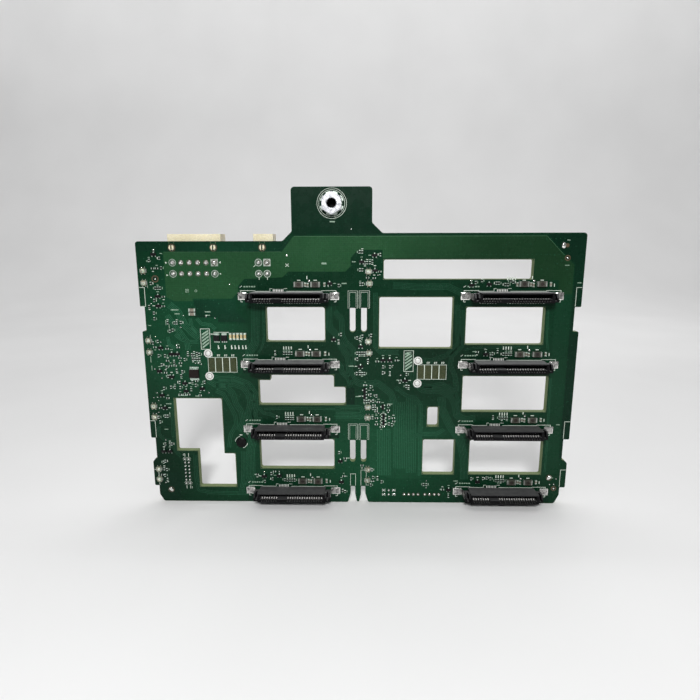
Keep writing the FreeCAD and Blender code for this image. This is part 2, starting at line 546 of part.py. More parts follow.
# small resistors
RES = [
    (-103.0, 125.7, "h"), (-101.0, 125.7, "h"), (-98.8, 125.9, "v"), (-104.6, 129.6, "v"), (-99.3, 130.7, "v"),
    (-102.4, 115.9, "v"), (-101.2, 115.9, "v"), (-100.0, 115.9, "v"), (-104.6, 118.3, "v"), (-103.5, 109.7, "v"),
    (-98.7, 111.6, "h"), (-99.1, 106.8, "h"), (-106.3, 106.6, "v"), (-104.1, 103.3, "v"), (-104.1, 100.4, "v"),
    (-97.5, 98.4, "v"), (-94.0, 98.3, "v"), (-92.8, 98.3, "v"), (-90.8, 98.5, "v"), (-96.7, 94.0, "v"), (-95.2, 94.6, "v"),
    (-103.3, 88.7, "v"), (-105.8, 87.9, "v"), (-105.0, 85.7, "h"), (-98.7, 84.8, "h"), (-92.9, 85.6, "h"),
    (-103.4, 81.2, "v"), (-100.1, 81.2, "v"), (-98.9, 78.5, "h"), (-95.7, 77.3, "v"), (-92.4, 80.0, "h"), (-92.3, 77.3, "h"),
    (-90.1, 79.2, "v"), (-102.2, 76.4, "v"), (-99.8, 75.2, "v"), (-97.6, 75.9, "h"), (-95.2, 75.9, "h"),
    (-100.4, 72.2, "h"), (-99.2, 70.3, "v"), (-94.6, 73.5, "v"), (-91.7, 72.7, "v"), (-92.4, 70.6, "v"),
    (-88.2, 81.8, "v"), (-86.2, 81.8, "v"), (-85.0, 81.8, "v"), (-83.6, 82.4, "v"), (-82.3, 82.0, "v"),
    (-85.8, 79.4, "v"), (-84.7, 79.4, "v"), (-83.5, 79.4, "v"), (-82.3, 79.4, "v"),
    (-93.5, 67.0, "v"), (-93.3, 64.3, "v"), (-87.7, 63.1, "v"), (-85.2, 65.5, "v"), (-84.5, 67.7, "h"), (-86.8, 67.4, "v"),
    (-80.4, 67.2, "v"), (-98.2, 64.4, "v"), (-96.2, 64.4, "v"), (-101.9, 63.8, "v"), (-100.2, 58.5, "h"),
    (-93.6, 60.4, "h"), (-91.4, 60.4, "h"), (-89.2, 60.4, "h"), (-83.2, 60.0, "h"), (-104.4, 53.1, "h"),
    (-102.3, 48.6, "v"), (-101.1, 48.6, "v"), (-105.9, 48.0, "v"), (-105.3, 45.4, "v"),
    (-103.5, 33.0, "v"), (-101.1, 33.0, "v"), (-100.0, 33.0, "v"), (-104.2, 23.2, "v"), (-105.2, 22.6, "v"),
    (-105.1, 18.8, "v"), (-103.7, 18.4, "v"), (-104.9, 15.0, "v"), (-103.7, 12.7, "v"), (-106.2, 15.4, "h"),
    # centre strip
    (0.0, 133.6, "v"), (1.3, 133.6, "v"), (10.2, 132.3, "v"), (2.7, 128.3, "v"), (3.8, 128.4, "v"), (5.1, 128.4, "v"),
    (6.3, 129.1, "v"), (0.2, 124.9, "v"), (1.4, 124.9, "v"), (10.0, 124.0, "h"), (4.0, 121.0, "h"), (7.3, 120.8, "h"),
    (0.3, 117.8, "v"), (1.5, 117.8, "v"), (5.9, 92.0, "v"), (1.5, 91.5, "v"), (-1.2, 90.6, "v"), (0.2, 89.9, "v"),
    (-1.1, 82.7, "v"), (0.1, 82.7, "v"), (1.3, 82.7, "v"), (2.5, 82.7, "v"), (-1.1, 79.6, "v"), (4.4, 79.0, "v"),
    (-1.3, 72.0, "v"), (0.3, 72.0, "v"), (1.4, 72.0, "v"), (2.6, 72.0, "v"), (9.1, 78.4, "h"), (19.0, 79.0, "h"),
    (12.1, 75.6, "v"), (15.7, 75.6, "v"), (12.0, 72.4, "v"), (15.7, 72.4, "v"), (24.2, 71.6, "v"), (20.9, 68.4, "h"),
    (24.2, 65.3, "v"), (25.4, 65.2, "v"), (3.0, 65.8, "h"), (5.8, 65.0, "v"), (8.9, 60.0, "v"), (5.9, 60.5, "v"),
    (2.6, 57.2, "v"), (3.8, 57.0, "v"), (5.0, 57.2, "v"), (7.2, 57.2, "v"), (9.9, 56.7, "h"), (7.7, 55.0, "h"),
    (7.2, 53.3, "v"), (8.4, 53.3, "v"), (8.8, 51.6, "h"), (15.1, 52.2, "h"), (15.3, 55.0, "h"),
    (9.0, 47.9, "h"), (6.9, 48.1, "v"), (15.6, 48.2, "v"), (17.9, 48.0, "h"), (18.1, 46.2, "h"), (15.6, 44.8, "v"),
    (17.1, 44.4, "v"), (9.0, 44.4, "h"), (11.6, 43.2, "h"),
    (1.5, 21.3, "h"), (6.8, 18.9, "v"), (7.2, 12.3, "h"), (6.2, 10.1, "v"), (7.4, 14.5, "v"), (9.8, 14.4, "v"), (12.0, 12.0, "v"),
    (34.6, 10.6, "v"), (36.1, 10.6, "v"), (44.8, 7.7, "h"), (48.1, 3.9, "v"),
    (-10.7, 28.6, "v"), (-7.4, 25.3, "h"), (-8.3, 15.2, "h"), (-7.6, 6.2, "v"), (-8.9, 6.8, "v"),
    # around the sockets
    (-10.4, 117.1, "v"), (-9.4, 92.4, "v"), (-10.6, 89.0, "v"),
    (57.5, 118.6, "v"), (60.5, 119.6, "v"), (67.8, 118.3, "v"), (69.0, 118.3, "v"), (72.2, 117.6, "v"), (73.5, 117.6, "v"),
    (74.7, 119.4, "v"), (76.0, 118.8, "v"), (66.6, 81.4, "v"), (67.7, 82.6, "v"), (70.2, 83.7, "v"), (59.9, 83.4, "h"),
    (69.8, 48.9, "v"), (59.9, 14.1, "v"), (66.2, 14.3, "v"), (68.2, 14.6, "v"), (70.2, 14.2, "v"),
    (-47.3, 16.4, "v"), (-45.5, 17.6, "h"), (-46.7, 13.3, "v"), (-50.9, 11.8, "v"), (-40.1, 12.9, "v"), (-54.9, 15.8, "h"),
    (-43.2, 83.2, "v"), (-43.3, 48.3, "v"),
]
for zr, xr in ((82.7, 0), (47.6, 0), (12.7, 0), (82.4, 1), (48.3, 1), (13.1, 1)):
    base = (-38.65, 73.2)[xr]
    for k in range(4):
        RES.append((base + 1.3 * k, zr, "v"))
b, e = chips(RES, 1.5, 0.78, 0.48, 0.3)
save("resistor_bodies", b)
save("resistor_terminals", e)

# small capacitors, tan
CAP = []
for z in (117.6, 82.5, 47.4, 12.3):
    CAP += [(-27.1, z, "v"), (-25.8, z - 0.2, "v"), (-17.5, z, "v")]
for z in (117.7, 82.4, 47.4, 12.4):
    CAP += [(84.7, z, "v"), (86.0, z - 0.3, "v"), (94.5, z, "v")]
CAP += [(78.0, 117.7, "v"), (-84.6, 104.9, "H"), (-84.6, 102.9, "H")]
b1, e1 = chips([c for c in CAP if c[2] != "H"], 2.0, 0.95, 0.75, 0.4)
b2, e2 = chips([(x, z, "h") for x, z, o in CAP if o == "H"], 3.2, 1.5, 1.1, 0.5)
save("capacitor_bodies", group([b1, b2]))
save("capacitor_terminals", group([e1, e2]))

# power chokes above each socket: square ferrite body with a wound well, metal ends
CHOKES = []
for z in (117.7, 82.5, 47.4, 12.3):
    CHOKES += [(-30.4, z), (-22.1, z)]
for z in (117.9, 82.4, 47.3, 12.4):
    CHOKES += [(81.3, z), (90.1, z)]
cb, ct, cc = [], [], []
for x, z in CHOKES:
    body = F(x, z, 3.3, 2.7, 0.05, 1.5)
    well = cyl(x, z, 0.95, YF - 1.6, YF - 0.7)
    cb.append(body.cut(well))
    for s in (1, -1):
        ct.append(F(x + s * 2.0, z, 0.7, 2.5, 0.0, 1.35))
    cc.append(cyl(x, z, 0.93, YF - 1.25, YF - 0.72).cut(cyl(x, z, 0.4, YF - 1.6, YF - 1.0)))
save("choke_bodies", group(cb))
save("choke_terminals", group(ct))
save("choke_coils", group(cc))

# row of five orange chips
OR = [(-65.7, 91.4, "v"), (-63.85, 91.4, "v"), (-62.0, 91.4, "v"), (-60.15, 91.4, "v"), (-58.3, 91.4, "v")]
b, e = chips(OR, 3.4, 1.15, 1.0, 0.7)
save("film_chip_bodies", b)
save("film_chip_terminals", e)

# status lights: one pair per bay beside the left edge and the centre slots
LEDS = []
for z in (124.5, 89.2, 54.0, 18.8):
    LEDS.append((-107.9, z))
for z in (118.5, 83.1, 48.1, 13.0):
    LEDS.append((-107.9, z))
for z in (124.0, 88.8, 54.0, 19.1):
    LEDS.append((4.5, z))
for z in (118.1, 82.8, 48.2, 12.9):
    LEDS.append((4.9 if z > 60 else 4.4, z))
lb, ll, lt = [], [], []
for x, z in LEDS:
    base = F(x, z, 2.2, 2.5, 0.0, 1.1)
    base = base.cut(cone(x, z, 0.95, 0.7, YF - 1.11, YF - 0.5))
    lb.append(base)
    ll.append(cone(x, z, 0.9, 0.7, YF - 1.0, YF - 0.55))
    for s in (1, -1):
        lt.append(F(x + s * 1.35, z, 0.5, 1.7, 0.0, 0.7))
save("light_bases", group(lb))
save("light_lenses", group(ll))
save("light_terminals", group(lt))

print("nodes", count)
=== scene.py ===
# Drive backplane board: looks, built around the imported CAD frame.
# Layout coordinates used below are millimetres: x from the centre line, z above
# the board's bottom edge, h off a board face.
import bpy
import math
import random
import numpy as np
from mathutils import Vector, Matrix


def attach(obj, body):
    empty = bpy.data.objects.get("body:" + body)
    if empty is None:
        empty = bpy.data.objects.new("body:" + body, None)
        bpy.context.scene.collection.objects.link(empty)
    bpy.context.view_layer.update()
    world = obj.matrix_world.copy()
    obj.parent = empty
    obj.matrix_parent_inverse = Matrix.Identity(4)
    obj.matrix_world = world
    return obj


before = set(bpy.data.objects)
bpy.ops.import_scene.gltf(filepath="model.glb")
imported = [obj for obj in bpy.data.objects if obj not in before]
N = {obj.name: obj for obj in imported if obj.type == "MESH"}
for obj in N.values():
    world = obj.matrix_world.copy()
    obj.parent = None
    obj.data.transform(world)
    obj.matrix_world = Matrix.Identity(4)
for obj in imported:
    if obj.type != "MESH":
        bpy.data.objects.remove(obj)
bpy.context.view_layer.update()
rnd = random.Random(7)

X_OFF, Z_OFF = 13.5, -156.7
YF, YR = -3.2, 0.0


def W(x, h, z, rear=False):
    y = YR + h if rear else YF - h
    return ((x + X_OFF) / 1000.0, y / 1000.0, (z + Z_OFF) / 1000.0)


# ------------------------------------------------------------------ materials
class Mat:
    """Small helper round a node tree with one Principled shader."""

    def __init__(self, name):
        self.m = bpy.data.materials.new(name)
        self.m.use_nodes = True
        t = self.m.node_tree
        t.nodes.clear()
        self.t = t
        self.out = t.nodes.new("ShaderNodeOutputMaterial")
        self.b = t.nodes.new("ShaderNodeBsdfPrincipled")
        t.links.new(self.b.outputs[0], self.out.inputs[0])
        self.co = t.nodes.new("ShaderNodeTexCoord").outputs["Object"]
        self.height = None

    def link(self, a, b):
        self.t.links.new(a, b)

    def set(self, **kw):
        for k, v in kw.items():
            self.b.inputs[k.replace("_", " ")].default_value = v
        return self

    def noise(self, scale, detail=3.0, rough=0.55, stretch=None, dist=0.0):
        n = self.t.nodes.new("ShaderNodeTexNoise")
        n.inputs["Scale"].default_value = scale
        n.inputs["Detail"].default_value = detail
        n.inputs["Roughness"].default_value = rough
        n.inputs["Distortion"].default_value = dist
        src = self.co
        if stretch:
            mp = self.t.nodes.new("ShaderNodeMapping")
            mp.inputs["Scale"].default_value = stretch
            self.link(src, mp.inputs["Vector"])
            src = mp.outputs[0]
        self.link(src, n.inputs["Vector"])
        return n.outputs["Fac"]

    def voronoi(self, scale, feature="F1", stretch=None, out="Distance"):
        n = self.t.nodes.new("ShaderNodeTexVoronoi")
        n.feature = feature
        n.inputs["Scale"].default_value = scale
        src = self.co
        if stretch:
            mp = self.t.nodes.new("ShaderNodeMapping")
            mp.inputs["Scale"].default_value = stretch
            self.link(src, mp.inputs["Vector"])
            src = mp.outputs[0]
        self.link(src, n.inputs["Vector"])
        return n.outputs[out]

    def wave(self, scale, direction="X", dist=0.0, detail=1.0):
        n = self.t.nodes.new("ShaderNodeTexWave")
        n.bands_direction = direction
        n.inputs["Scale"].default_value = scale
        n.inputs["Distortion"].default_value = dist
        n.inputs["Detail"].default_value = detail
        self.link(self.co, n.inputs["Vector"])
        return n.outputs["Fac"]

    def ramp(self, src, stops, interp="LINEAR"):
        n = self.t.nodes.new("ShaderNodeValToRGB")
        cr = n.color_ramp
        cr.interpolation = interp
        while len(cr.elements) < len(stops):
            cr.elements.new(0.5)
        for e, (p, c) in zip(cr.elements, stops):
            e.position = p
            if not isinstance(c, (tuple, list)):
                c = (c, c, c)
            e.color = (c[0], c[1], c[2], 1.0)
        self.link(src, n.inputs[0])
        return n.outputs[0]

    def mix(self, fac, a, b, mode="MIX"):
        n = self.t.nodes.new("ShaderNodeMix")
        n.data_type = "RGBA"
        n.blend_type = mode
        n.clamp_factor = True
        for sock, v in ((n.inputs[0], fac), (n.inputs[6], a), (n.inputs[7], b)):
            if isinstance(v, bpy.types.NodeSocket):
                self.link(v, sock)
            elif isinstance(v, (tuple, list)):
                sock.default_value = (v[0], v[1], v[2], 1.0)
            elif sock == n.inputs[0]:
                sock.default_value = v
            else:
                sock.default_value = (v, v, v, 1.0)
        return n.outputs[2]

    def math(self, op, a, b=0.0, clamp=False):
        n = self.t.nodes.new("ShaderNodeMath")
        n.operation = op
        n.use_clamp = clamp
        for sock, v in ((n.inputs[0], a), (n.inputs[1], b)):
            if isinstance(v, bpy.types.NodeSocket):
                self.link(v, sock)
            else:
                sock.default_value = v
        return n.outputs[0]

    def remap(self, src, f0, f1, t0, t1):
        n = self.t.nodes.new("ShaderNodeMapRange")
        n.inputs["From Min"].default_value = f0
        n.inputs["From Max"].default_value = f1
        n.inputs["To Min"].default_value = t0
        n.inputs["To Max"].default_value = t1
        self.link(src, n.inputs["Value"])
        return n.outputs[0]

    def facing_y(self):
        """1 on faces that look along +Y or -Y, 0 on cut edges"""
        g = self.t.nodes.new("ShaderNodeNewGeometry")
        s = self.t.nodes.new("ShaderNodeSeparateXYZ")
        self.link(g.outputs["Normal"], s.inputs[0])
        a = self.math("ABSOLUTE", s.outputs["Y"])
        return self.math("GREATER_THAN", a, 0.7)

    def axis(self, which):
        s = self.t.nodes.new("ShaderNodeSeparateXYZ")
        self.link(self.co, s.inputs[0])
        return s.outputs[which]

    def edge_wear_and_highlight(self, radius):
        """0..1, 1 on sharp outer edges, from the rounded normal against the true one"""
        bv = self.t.nodes.new("ShaderNodeBevel")
        bv.samples = 4
        bv.inputs["Radius"].default_value = radius
        g = self.t.nodes.new("ShaderNodeNewGeometry")
        d = self.t.nodes.new("ShaderNodeVectorMath")
        d.operation = "DOT_PRODUCT"
        self.link(bv.outputs[0], d.inputs[0])
        self.link(g.outputs["Normal"], d.inputs[1])
        return self.remap(d.outputs["Value"], 0.995, 0.8, 0.0, 1.0)

    def color(self, v):
        if isinstance(v, bpy.types.NodeSocket):
            self.link(v, self.b.inputs["Base Color"])
        else:
            self.b.inputs["Base Color"].default_value = (*v, 1.0)
        return self

    def rough(self, v):
        if isinstance(v, bpy.types.NodeSocket):
            self.link(v, self.b.inputs["Roughness"])
        else:
            self.b.inputs["Roughness"].default_value = v
        return self

    def bump(self, height, strength=0.3, distance=0.0001, round_edges=0.0):
        n = self.t.nodes.new("ShaderNodeBump")
        n.inputs["Strength"].default_value = strength
        n.inputs["Distance"].default_value = distance
        self.link(height, n.inputs["Height"])
        if round_edges:
            bv = self.t.nodes.new("ShaderNodeBevel")
            bv.samples = 4
            bv.inputs["Radius"].default_value = round_edges
            self.link(bv.outputs[0], n.inputs["Normal"])
        self.link(n.outputs[0], self.b.inputs["Normal"])
        return self


def scaled(c, k):
    return tuple(min(1.0, v * k) for v in c)


def blob(M, cx, cz, rx, rz):
    """1 at a layout point, falling smoothly to 0 at rx, rz away from it"""
    mp = M.t.nodes.new("ShaderNodeMapping")
    mp.inputs["Scale"].default_value = (1000.0 / rx, 0.0, 1000.0 / rz)
    mp.inputs["Location"].default_value = (-(cx + X_OFF) / rx, 0.0, -(cz + Z_OFF) / rz)
    M.link(M.co, mp.inputs["Vector"])
    ln = M.t.nodes.new("ShaderNodeVectorMath")
    ln.operation = "LENGTH"
    M.link(mp.outputs[0], ln.inputs[0])
    n = M.t.nodes.new("ShaderNodeMapRange")
    n.interpolation_type = "SMOOTHSTEP"
    n.inputs["From Min"].default_value = 0.25
    n.inputs["From Max"].default_value = 1.0
    n.inputs["To Min"].default_value = 1.0
    n.inputs["To Max"].default_value = 0.0
    M.link(ln.outputs["Value"], n.inputs["Value"])
    return n.outputs[0]


def tone_and_painted_light(M, areas):
    """slow change of the mask's depth over the board: partly from the copper inside it, partly painted light (painted
    sheen and painted fall-off of the light)
    """
    v = None
    for cx, cz, rx, rz, a in areas:
        t = M.math("MULTIPLY", blob(M, cx, cz, rx, rz), a)
        v = M.math("ADD", t, 1.0) if v is None else M.math("ADD", v, t)
    return M.math("MAXIMUM", v, 0.35)


# tone blobs (x, z, rx, rz, amount): partly the copper under the mask, partly painted light; the lighter blob low in the
# middle is a painted reflection of the floor, the darker blobs at the side edges are painted fall-off of the light
TONE_AND_LIGHT_AREAS = [(-88.0, 92.0, 42.0, 52.0, 0.75), (8.0, 26.0, 58.0, 44.0, 0.85), (-62.0, 22.0, 26.0, 34.0, 0.35),
         (119.0, 75.0, 15.0, 100.0, -0.35), (99.5, 70.0, 13.0, 95.0, 0.08), (-112.0, 10.0, 26.0, 50.0, -0.4),
         (48.0, 84.0, 46.0, 44.0, -0.28)]
DARK_AREAS = [(-64.0, 122.0, 42.0, 36.0, 0.95), (-106.0, 128.0, 16.0, 20.0, 0.3)]
# on the pour: the lighter blob at the top centre is a painted reflection of the lamp, the darker blob to the top right
# is painted fall-off
POUR_TONE_AND_LIGHT_AREAS = [(92.0, 128.0, 92.0, 40.0, -0.45), (-6.0, 134.0, 34.0, 20.0, 0.10)]


def mask_tree(M, base, cut=False, areas=TONE_AND_LIGHT_AREAS):
    """solder mask over copper or bare laminate: blotchy colour, weave, tiny dust, and a slow tone that is partly
    painted light
    """
    big = M.ramp(M.noise(34, 2, 0.5), [(0.3, scaled(base, 0.92)), (0.7, scaled(base, 1.09))])
    # tone field: partly copper under the mask, partly painted sheen and painted fall-off
    if areas:
        big = M.mix(1.0, big, tone_and_painted_light(M, areas), "MULTIPLY")
    fine = M.ramp(M.noise(900, 3, 0.6), [(0.3, 0.88), (0.7, 1.1)])
    col = M.mix(1.0, big, fine, "MULTIPLY")
    weave = M.math("ADD", M.wave(330, "X", 0.5), M.wave(330, "Z", 0.5))
    col = M.mix(1.0, col, M.ramp(M.math("MULTIPLY", weave, 0.5), [(0.2, 0.93), (0.8, 1.07)]), "MULTIPLY")
    dust = M.ramp(M.voronoi(420), [(0.0, 1.0), (0.045, 0.0)])
    sparse = M.ramp(M.noise(60, 2, 0.5), [(0.56, 0.0), (0.66, 1.0)])
    col = M.mix(M.math("MULTIPLY", M.math("MULTIPLY", dust, sparse), 0.35), col, (0.34, 0.38, 0.34))
    if cut:
        f = M.facing_y()
        lam = M.ramp(M.noise(1400, 3, 0.6, stretch=(0.25, 6.0, 0.25)),
                     [(0.3, (0.130, 0.175, 0.080)), (0.7, (0.230, 0.280, 0.140))])
        col = M.mix(f, lam, col)
        rough = M.mix(f, 0.62, M.ramp(M.noise(160, 3, 0.6), [(0.3, 0.22), (0.7, 0.32)]))
    else:
        rough = M.ramp(M.noise(160, 3, 0.6), [(0.3, 0.22), (0.7, 0.32)])
    M.color(col)
    M.rough(rough)
    M.set(Specular_IOR_Level=0.10)
    h = M.math("ADD", M.math("MULTIPLY", weave, 0.35), M.noise(500, 3, 0.6))
    M.bump(h, 0.12, 0.00003)
    return M


MASK_MID = (0.0030, 0.0262, 0.0112)
MASK_DARK = (0.0026, 0.0190, 0.0092)
MASK_LIGHT = (0.0150, 0.0600, 0.0235)
mask_board = mask_tree(Mat("board_mask_and_laminate"), MASK_MID, cut=True)
mask_dark = mask_tree(Mat("mask_over_bare_laminate_and_painted_shadows"), MASK_DARK, areas=DARK_AREAS)
mask_light = mask_tree(Mat("mask_over_copper_pour"), MASK_LIGHT, areas=POUR_TONE_AND_LIGHT_AREAS)
mask_soft = mask_tree(Mat("mask_over_signal_area"), (0.0042, 0.0305, 0.0135))
mask_track = mask_tree(Mat("mask_over_tracks"), (0.0120, 0.0560, 0.0290))
# painted glint: a light mask colour for the bright lines along the pour edges
mask_glint = mask_tree(Mat("painted_glint_on_pour_edge"), (0.0600, 0.1350, 0.0750), areas=None)

# bare laminate where the mask stops short of a cut
laminate = Mat("bare_laminate_strip")
laminate.color(laminate.ramp(laminate.noise(900, 3), [(0.3, (0.050, 0.085, 0.034)), (0.7, (0.105, 0.140, 0.066))]))
laminate.rough(0.55)
laminate.bump(laminate.noise(1500, 2), 0.2, 0.00003)

silk = Mat("white_board_printing")
_wear = silk.ramp(silk.noise(1800, 3, 0.7), [(0.30, 0.0), (0.42, 1.0)])
silk.color(silk.mix(_wear, (0.24, 0.33, 0.27), silk.ramp(silk.noise(240, 2), [(0.3, (0.50, 0.58, 0.50)), (0.7, (0.64, 0.70, 0.62))])))
silk.rough(silk.ramp(silk.noise(700, 2), [(0.3, 0.5), (0.7, 0.68)]))
silk.set(Specular_IOR_Level=0.25)
silk.bump(silk.noise(2600, 2), 0.25, 0.00003)

faint = Mat("worn_board_printing")
faint.color(faint.ramp(faint.noise(2400, 3, 0.7), [(0.32, (0.07, 0.15, 0.09)), (0.62, (0.36, 0.48, 0.38))]))
faint.rough(faint.ramp(faint.noise(700, 2), [(0.3, 0.5), (0.7, 0.68)]))
faint.set(Specular_IOR_Level=0.25)
faint.bump(faint.noise(2600, 2), 0.25, 0.00003)

disc_white = Mat("frosted_solder_disc")
disc_white.color(disc_white.ramp(disc_white.noise(900, 3), [(0.3, (0.55, 0.57, 0.55)), (0.7, (0.78, 0.79, 0.76))]))
disc_white.rough(disc_white.ramp(disc_white.noise(700, 2), [(0.3, 0.34), (0.7, 0.52)]))
disc_white.set(Metallic=0.15)
disc_white.bump(disc_white.noise(1500, 2), 0.3, 0.00004)


def metal(name, c0, c1, r0, r1, scale=700, bump=0.2, stretch=None, dist=0.00004, edges=0.0, metallic=0.8):
    M = Mat(name)
    M.set(Metallic=metallic)
    M.color(M.ramp(M.noise(scale, 3, 0.6, stretch=stretch), [(0.3, c0), (0.7, c1)]))
    M.rough(M.ramp(M.noise(scale * 1.7, 3, 0.6, stretch=stretch), [(0.3, r0), (0.7, r1)]))
    M.bump(M.noise(scale * 2.3, 2, 0.5, stretch=stretch), bump, dist, round_edges=edges)
    return M


solder = metal("bright_solder", (0.66, 0.66, 0.63), (0.93, 0.92, 0.89), 0.12, 0.27, 900, 0.34, metallic=0.92)
pad_tin = metal("tinned_pad", (0.31, 0.37, 0.33), (0.54, 0.60, 0.54), 0.30, 0.46, 1100, 0.25)
# painted reflections: the clip colour runs in blotches from near-black to bright
clip_tin = metal("tinned_clip_painted_reflections", (0.03, 0.03, 0.03), (0.64, 0.63, 0.61), 0.20, 0.38, 560, 0.5, edges=0.00012)
contact_au = metal("plated_contact", (0.78, 0.74, 0.68), (0.96, 0.93, 0.88), 0.22, 0.36, 900, 0.15, metallic=0.55)
led_tin = metal("light_terminal_tin", (0.20, 0.23, 0.20), (0.42, 0.45, 0.42), 0.32, 0.5, 1300, 0.3)
contact_spring = metal("plated_contact_spring", (0.86, 0.84, 0.80), (0.98, 0.97, 0.94), 0.22, 0.36, 900, 0.15, metallic=0.25)
# painted light and shade on the contacts: the plate colour stays bright only in a band at the crest near the mouth and
# at the end by the board; in between, painted shade makes them near-black
_y = contact_spring.axis("Y")
_contact_lit_band = contact_spring.math("MULTIPLY", contact_spring.remap(_y, -0.0107, -0.0104, 0.0, 1.0),
                             contact_spring.remap(_y, -0.0094, -0.0097, 0.0, 1.0))
_contact_lit_band = contact_spring.math("MAXIMUM", _contact_lit_band, contact_spring.remap(_y, -0.0066, -0.0062, 0.0, 1.0))
_plate = contact_spring.b.inputs["Base Color"].links[0].from_socket
_contact_painted_shade = contact_spring.ramp(contact_spring.noise(1300, 2), [(0.3, (0.035, 0.033, 0.032)), (0.7, (0.075, 0.070, 0.066))])
contact_spring.color(contact_spring.mix(_contact_lit_band, _contact_painted_shade, _plate))
chip_tin = metal("small_part_tin", (0.50, 0.64, 0.54), (0.76, 0.88, 0.79), 0.20, 0.34, 1200, 0.3, metallic=0.6)
choke_tin = metal("choke_terminal_tin", (0.20, 0.22, 0.20), (0.52, 0.54, 0.50), 0.26, 0.42, 1300, 0.3)
pin_tin = metal("tinned_pin", (0.70, 0.70, 0.69), (0.88, 0.88, 0.86), 0.25, 0.40, 900, 0.2, edges=0.0001)
nut_metal = metal("bright_nickel_nut", (0.62, 0.63, 0.67), (0.80, 0.81, 0.85), 0.20, 0.36, 420, 0.18, edges=0.00022)
# the thread and the closed end of its hole: painted shade, near-black inside the bore
_r = nut_metal.t.nodes.new("ShaderNodeVectorMath")
_r.operation = "MULTIPLY"
_r.inputs[1].default_value = (1.0, 0.0, 1.0)
nut_metal.link(nut_metal.co, _r.inputs[0])
_l = nut_metal.t.nodes.new("ShaderNodeVectorMath")
_l.operation = "LENGTH"
nut_metal.link(_r.outputs[0], _l.inputs[0])
_in = nut_metal.math("MULTIPLY", nut_metal.math("LESS_THAN", _l.outputs["Value"], 0.00233),
                     nut_metal.math("GREATER_THAN", nut_metal.axis("Y"), -0.00692))
_base = nut_metal.b.inputs["Base Color"].links[0].from_socket
_bore_painted_shade = nut_metal.ramp(nut_metal.wave(420, "Y", 0.4), [(0.3, (0.006, 0.006, 0.007)), (0.7, (0.022, 0.021, 0.021))])
nut_metal.color(nut_metal.mix(_in, _base, _bore_painted_shade))
_shine = nut_metal.b.inputs["Roughness"].links[0].from_socket
nut_metal.rough(nut_metal.mix(_in, _shine, 0.6))
cage_metal = metal("plated_sheet_cage", (0.58, 0.58, 0.57), (0.78, 0.78, 0.76), 0.26, 0.42, 380, 0.2, stretch=(1, 0.2, 1), edges=0.00015)
copper_ring = Mat("darkened_flux_ring")
copper_ring.color(copper_ring.ramp(copper_ring.noise(1500, 3), [(0.3, (0.024, 0.016, 0.007)), (0.7, (0.085, 0.056, 0.022))]))
copper_ring.rough(0.45)
copper_ring.bump(copper_ring.noise(1700, 2), 0.3, 0.00003)


def plastic(name, c0, c1, r0, r1, grain=2200, bump=0.22, wear_and_highlight=0.0, wear_and_highlight_col=(0.2, 0.2, 0.2), edges=0.00018, coarse=90,
            dist=0.00004, top=None, spec=0.5):
    M = Mat(name)
    M.set(Specular_IOR_Level=spec)
    col = M.ramp(M.noise(coarse, 3, 0.6), [(0.3, c0), (0.7, c1)])
    speck = M.ramp(M.noise(grain, 2, 0.6), [(0.25, 0.82), (0.75, 1.14)])
    col = M.mix(1.0, col, speck, "MULTIPLY")
    # lighter edges: rubbed wear and a painted edge highlight
    if wear_and_highlight:
        e = M.math("MULTIPLY", M.edge_wear_and_highlight(edges), M.ramp(M.noise(650, 3, 0.7), [(0.35, 0.25), (0.65, 1.0)]))
        col = M.mix(M.math("MULTIPLY", e, wear_and_highlight), col, wear_and_highlight_col)
    # painted light on the tops: upward faces take the lighter top colour, several times lighter on the upper rows, as
    # dust and as light falling on the tops
    if top:
        g = M.t.nodes.new("ShaderNodeNewGeometry")
        sp = M.t.nodes.new("ShaderNodeSeparateXYZ")
        M.link(g.outputs["Normal"], sp.inputs[0])
        up = M.math("MULTIPLY", M.remap(sp.outputs["Z"], 0.55, 0.95, 0.0, 1.0),
                    M.ramp(M.noise(300, 3, 0.6), [(0.3, 0.7), (0.7, 1.0)]))
        dust_and_painted_light = M.mix(M.remap(M.axis("Z"), -0.105, -0.045, 0.0, 1.0), top, scaled(top, 4.5))
        col = M.mix(up, col, dust_and_painted_light)
    M.color(col)
    M.rough(M.ramp(M.noise(grain * 0.5, 3, 0.6), [(0.3, r0), (0.7, r1)]))
    M.bump(M.noise(grain, 3, 0.6), bump, dist, round_edges=edges)
    return M


# top colour: dust and painted light on the socket tops
socket_black = plastic("moulded_black_socket", (0.0034, 0.0034, 0.0040), (0.0064, 0.0062, 0.0072), 0.34, 0.50, 2600, 0.3,
                       wear_and_highlight=0.30, wear_and_highlight_col=(0.070, 0.066, 0.072), edges=0.00016, top=(0.082, 0.083, 0.084), spec=0.07)
cream = plastic("natural_nylon_cream", (0.70, 0.63, 0.44), (0.82, 0.76, 0.58), 0.36, 0.5, 1500, 0.14, edges=0.00025)
cream.set(Subsurface_Weight=0.25, Subsurface_Scale=0.0015)
cream.b.inputs["Subsurface Radius"].default_value = (1.0, 0.8, 0.5)
plug_black = plastic("moulded_black_plug", (0.0035, 0.0040, 0.0040), (0.0070, 0.0075, 0.0075), 0.30, 0.46, 1800, 0.2, edges=0.0002, spec=0.10)
recept_black = plastic("moulded_black_receptacle", (0.016, 0.016, 0.018), (0.030, 0.030, 0.032), 0.4, 0.56, 2400, 0.28,
                       wear_and_highlight=0.4, wear_and_highlight_col=(0.13, 0.13, 0.14), edges=0.0002)
chip_brown = plastic("moulded_chip_dark_brown", (0.0075, 0.0046, 0.0040), (0.0150, 0.0088, 0.0074), 0.42, 0.6, 3200, 0.3,
                     wear_and_highlight=0.25, wear_and_highlight_col=(0.07, 0.05, 0.045), edges=0.00010, spec=0.15)
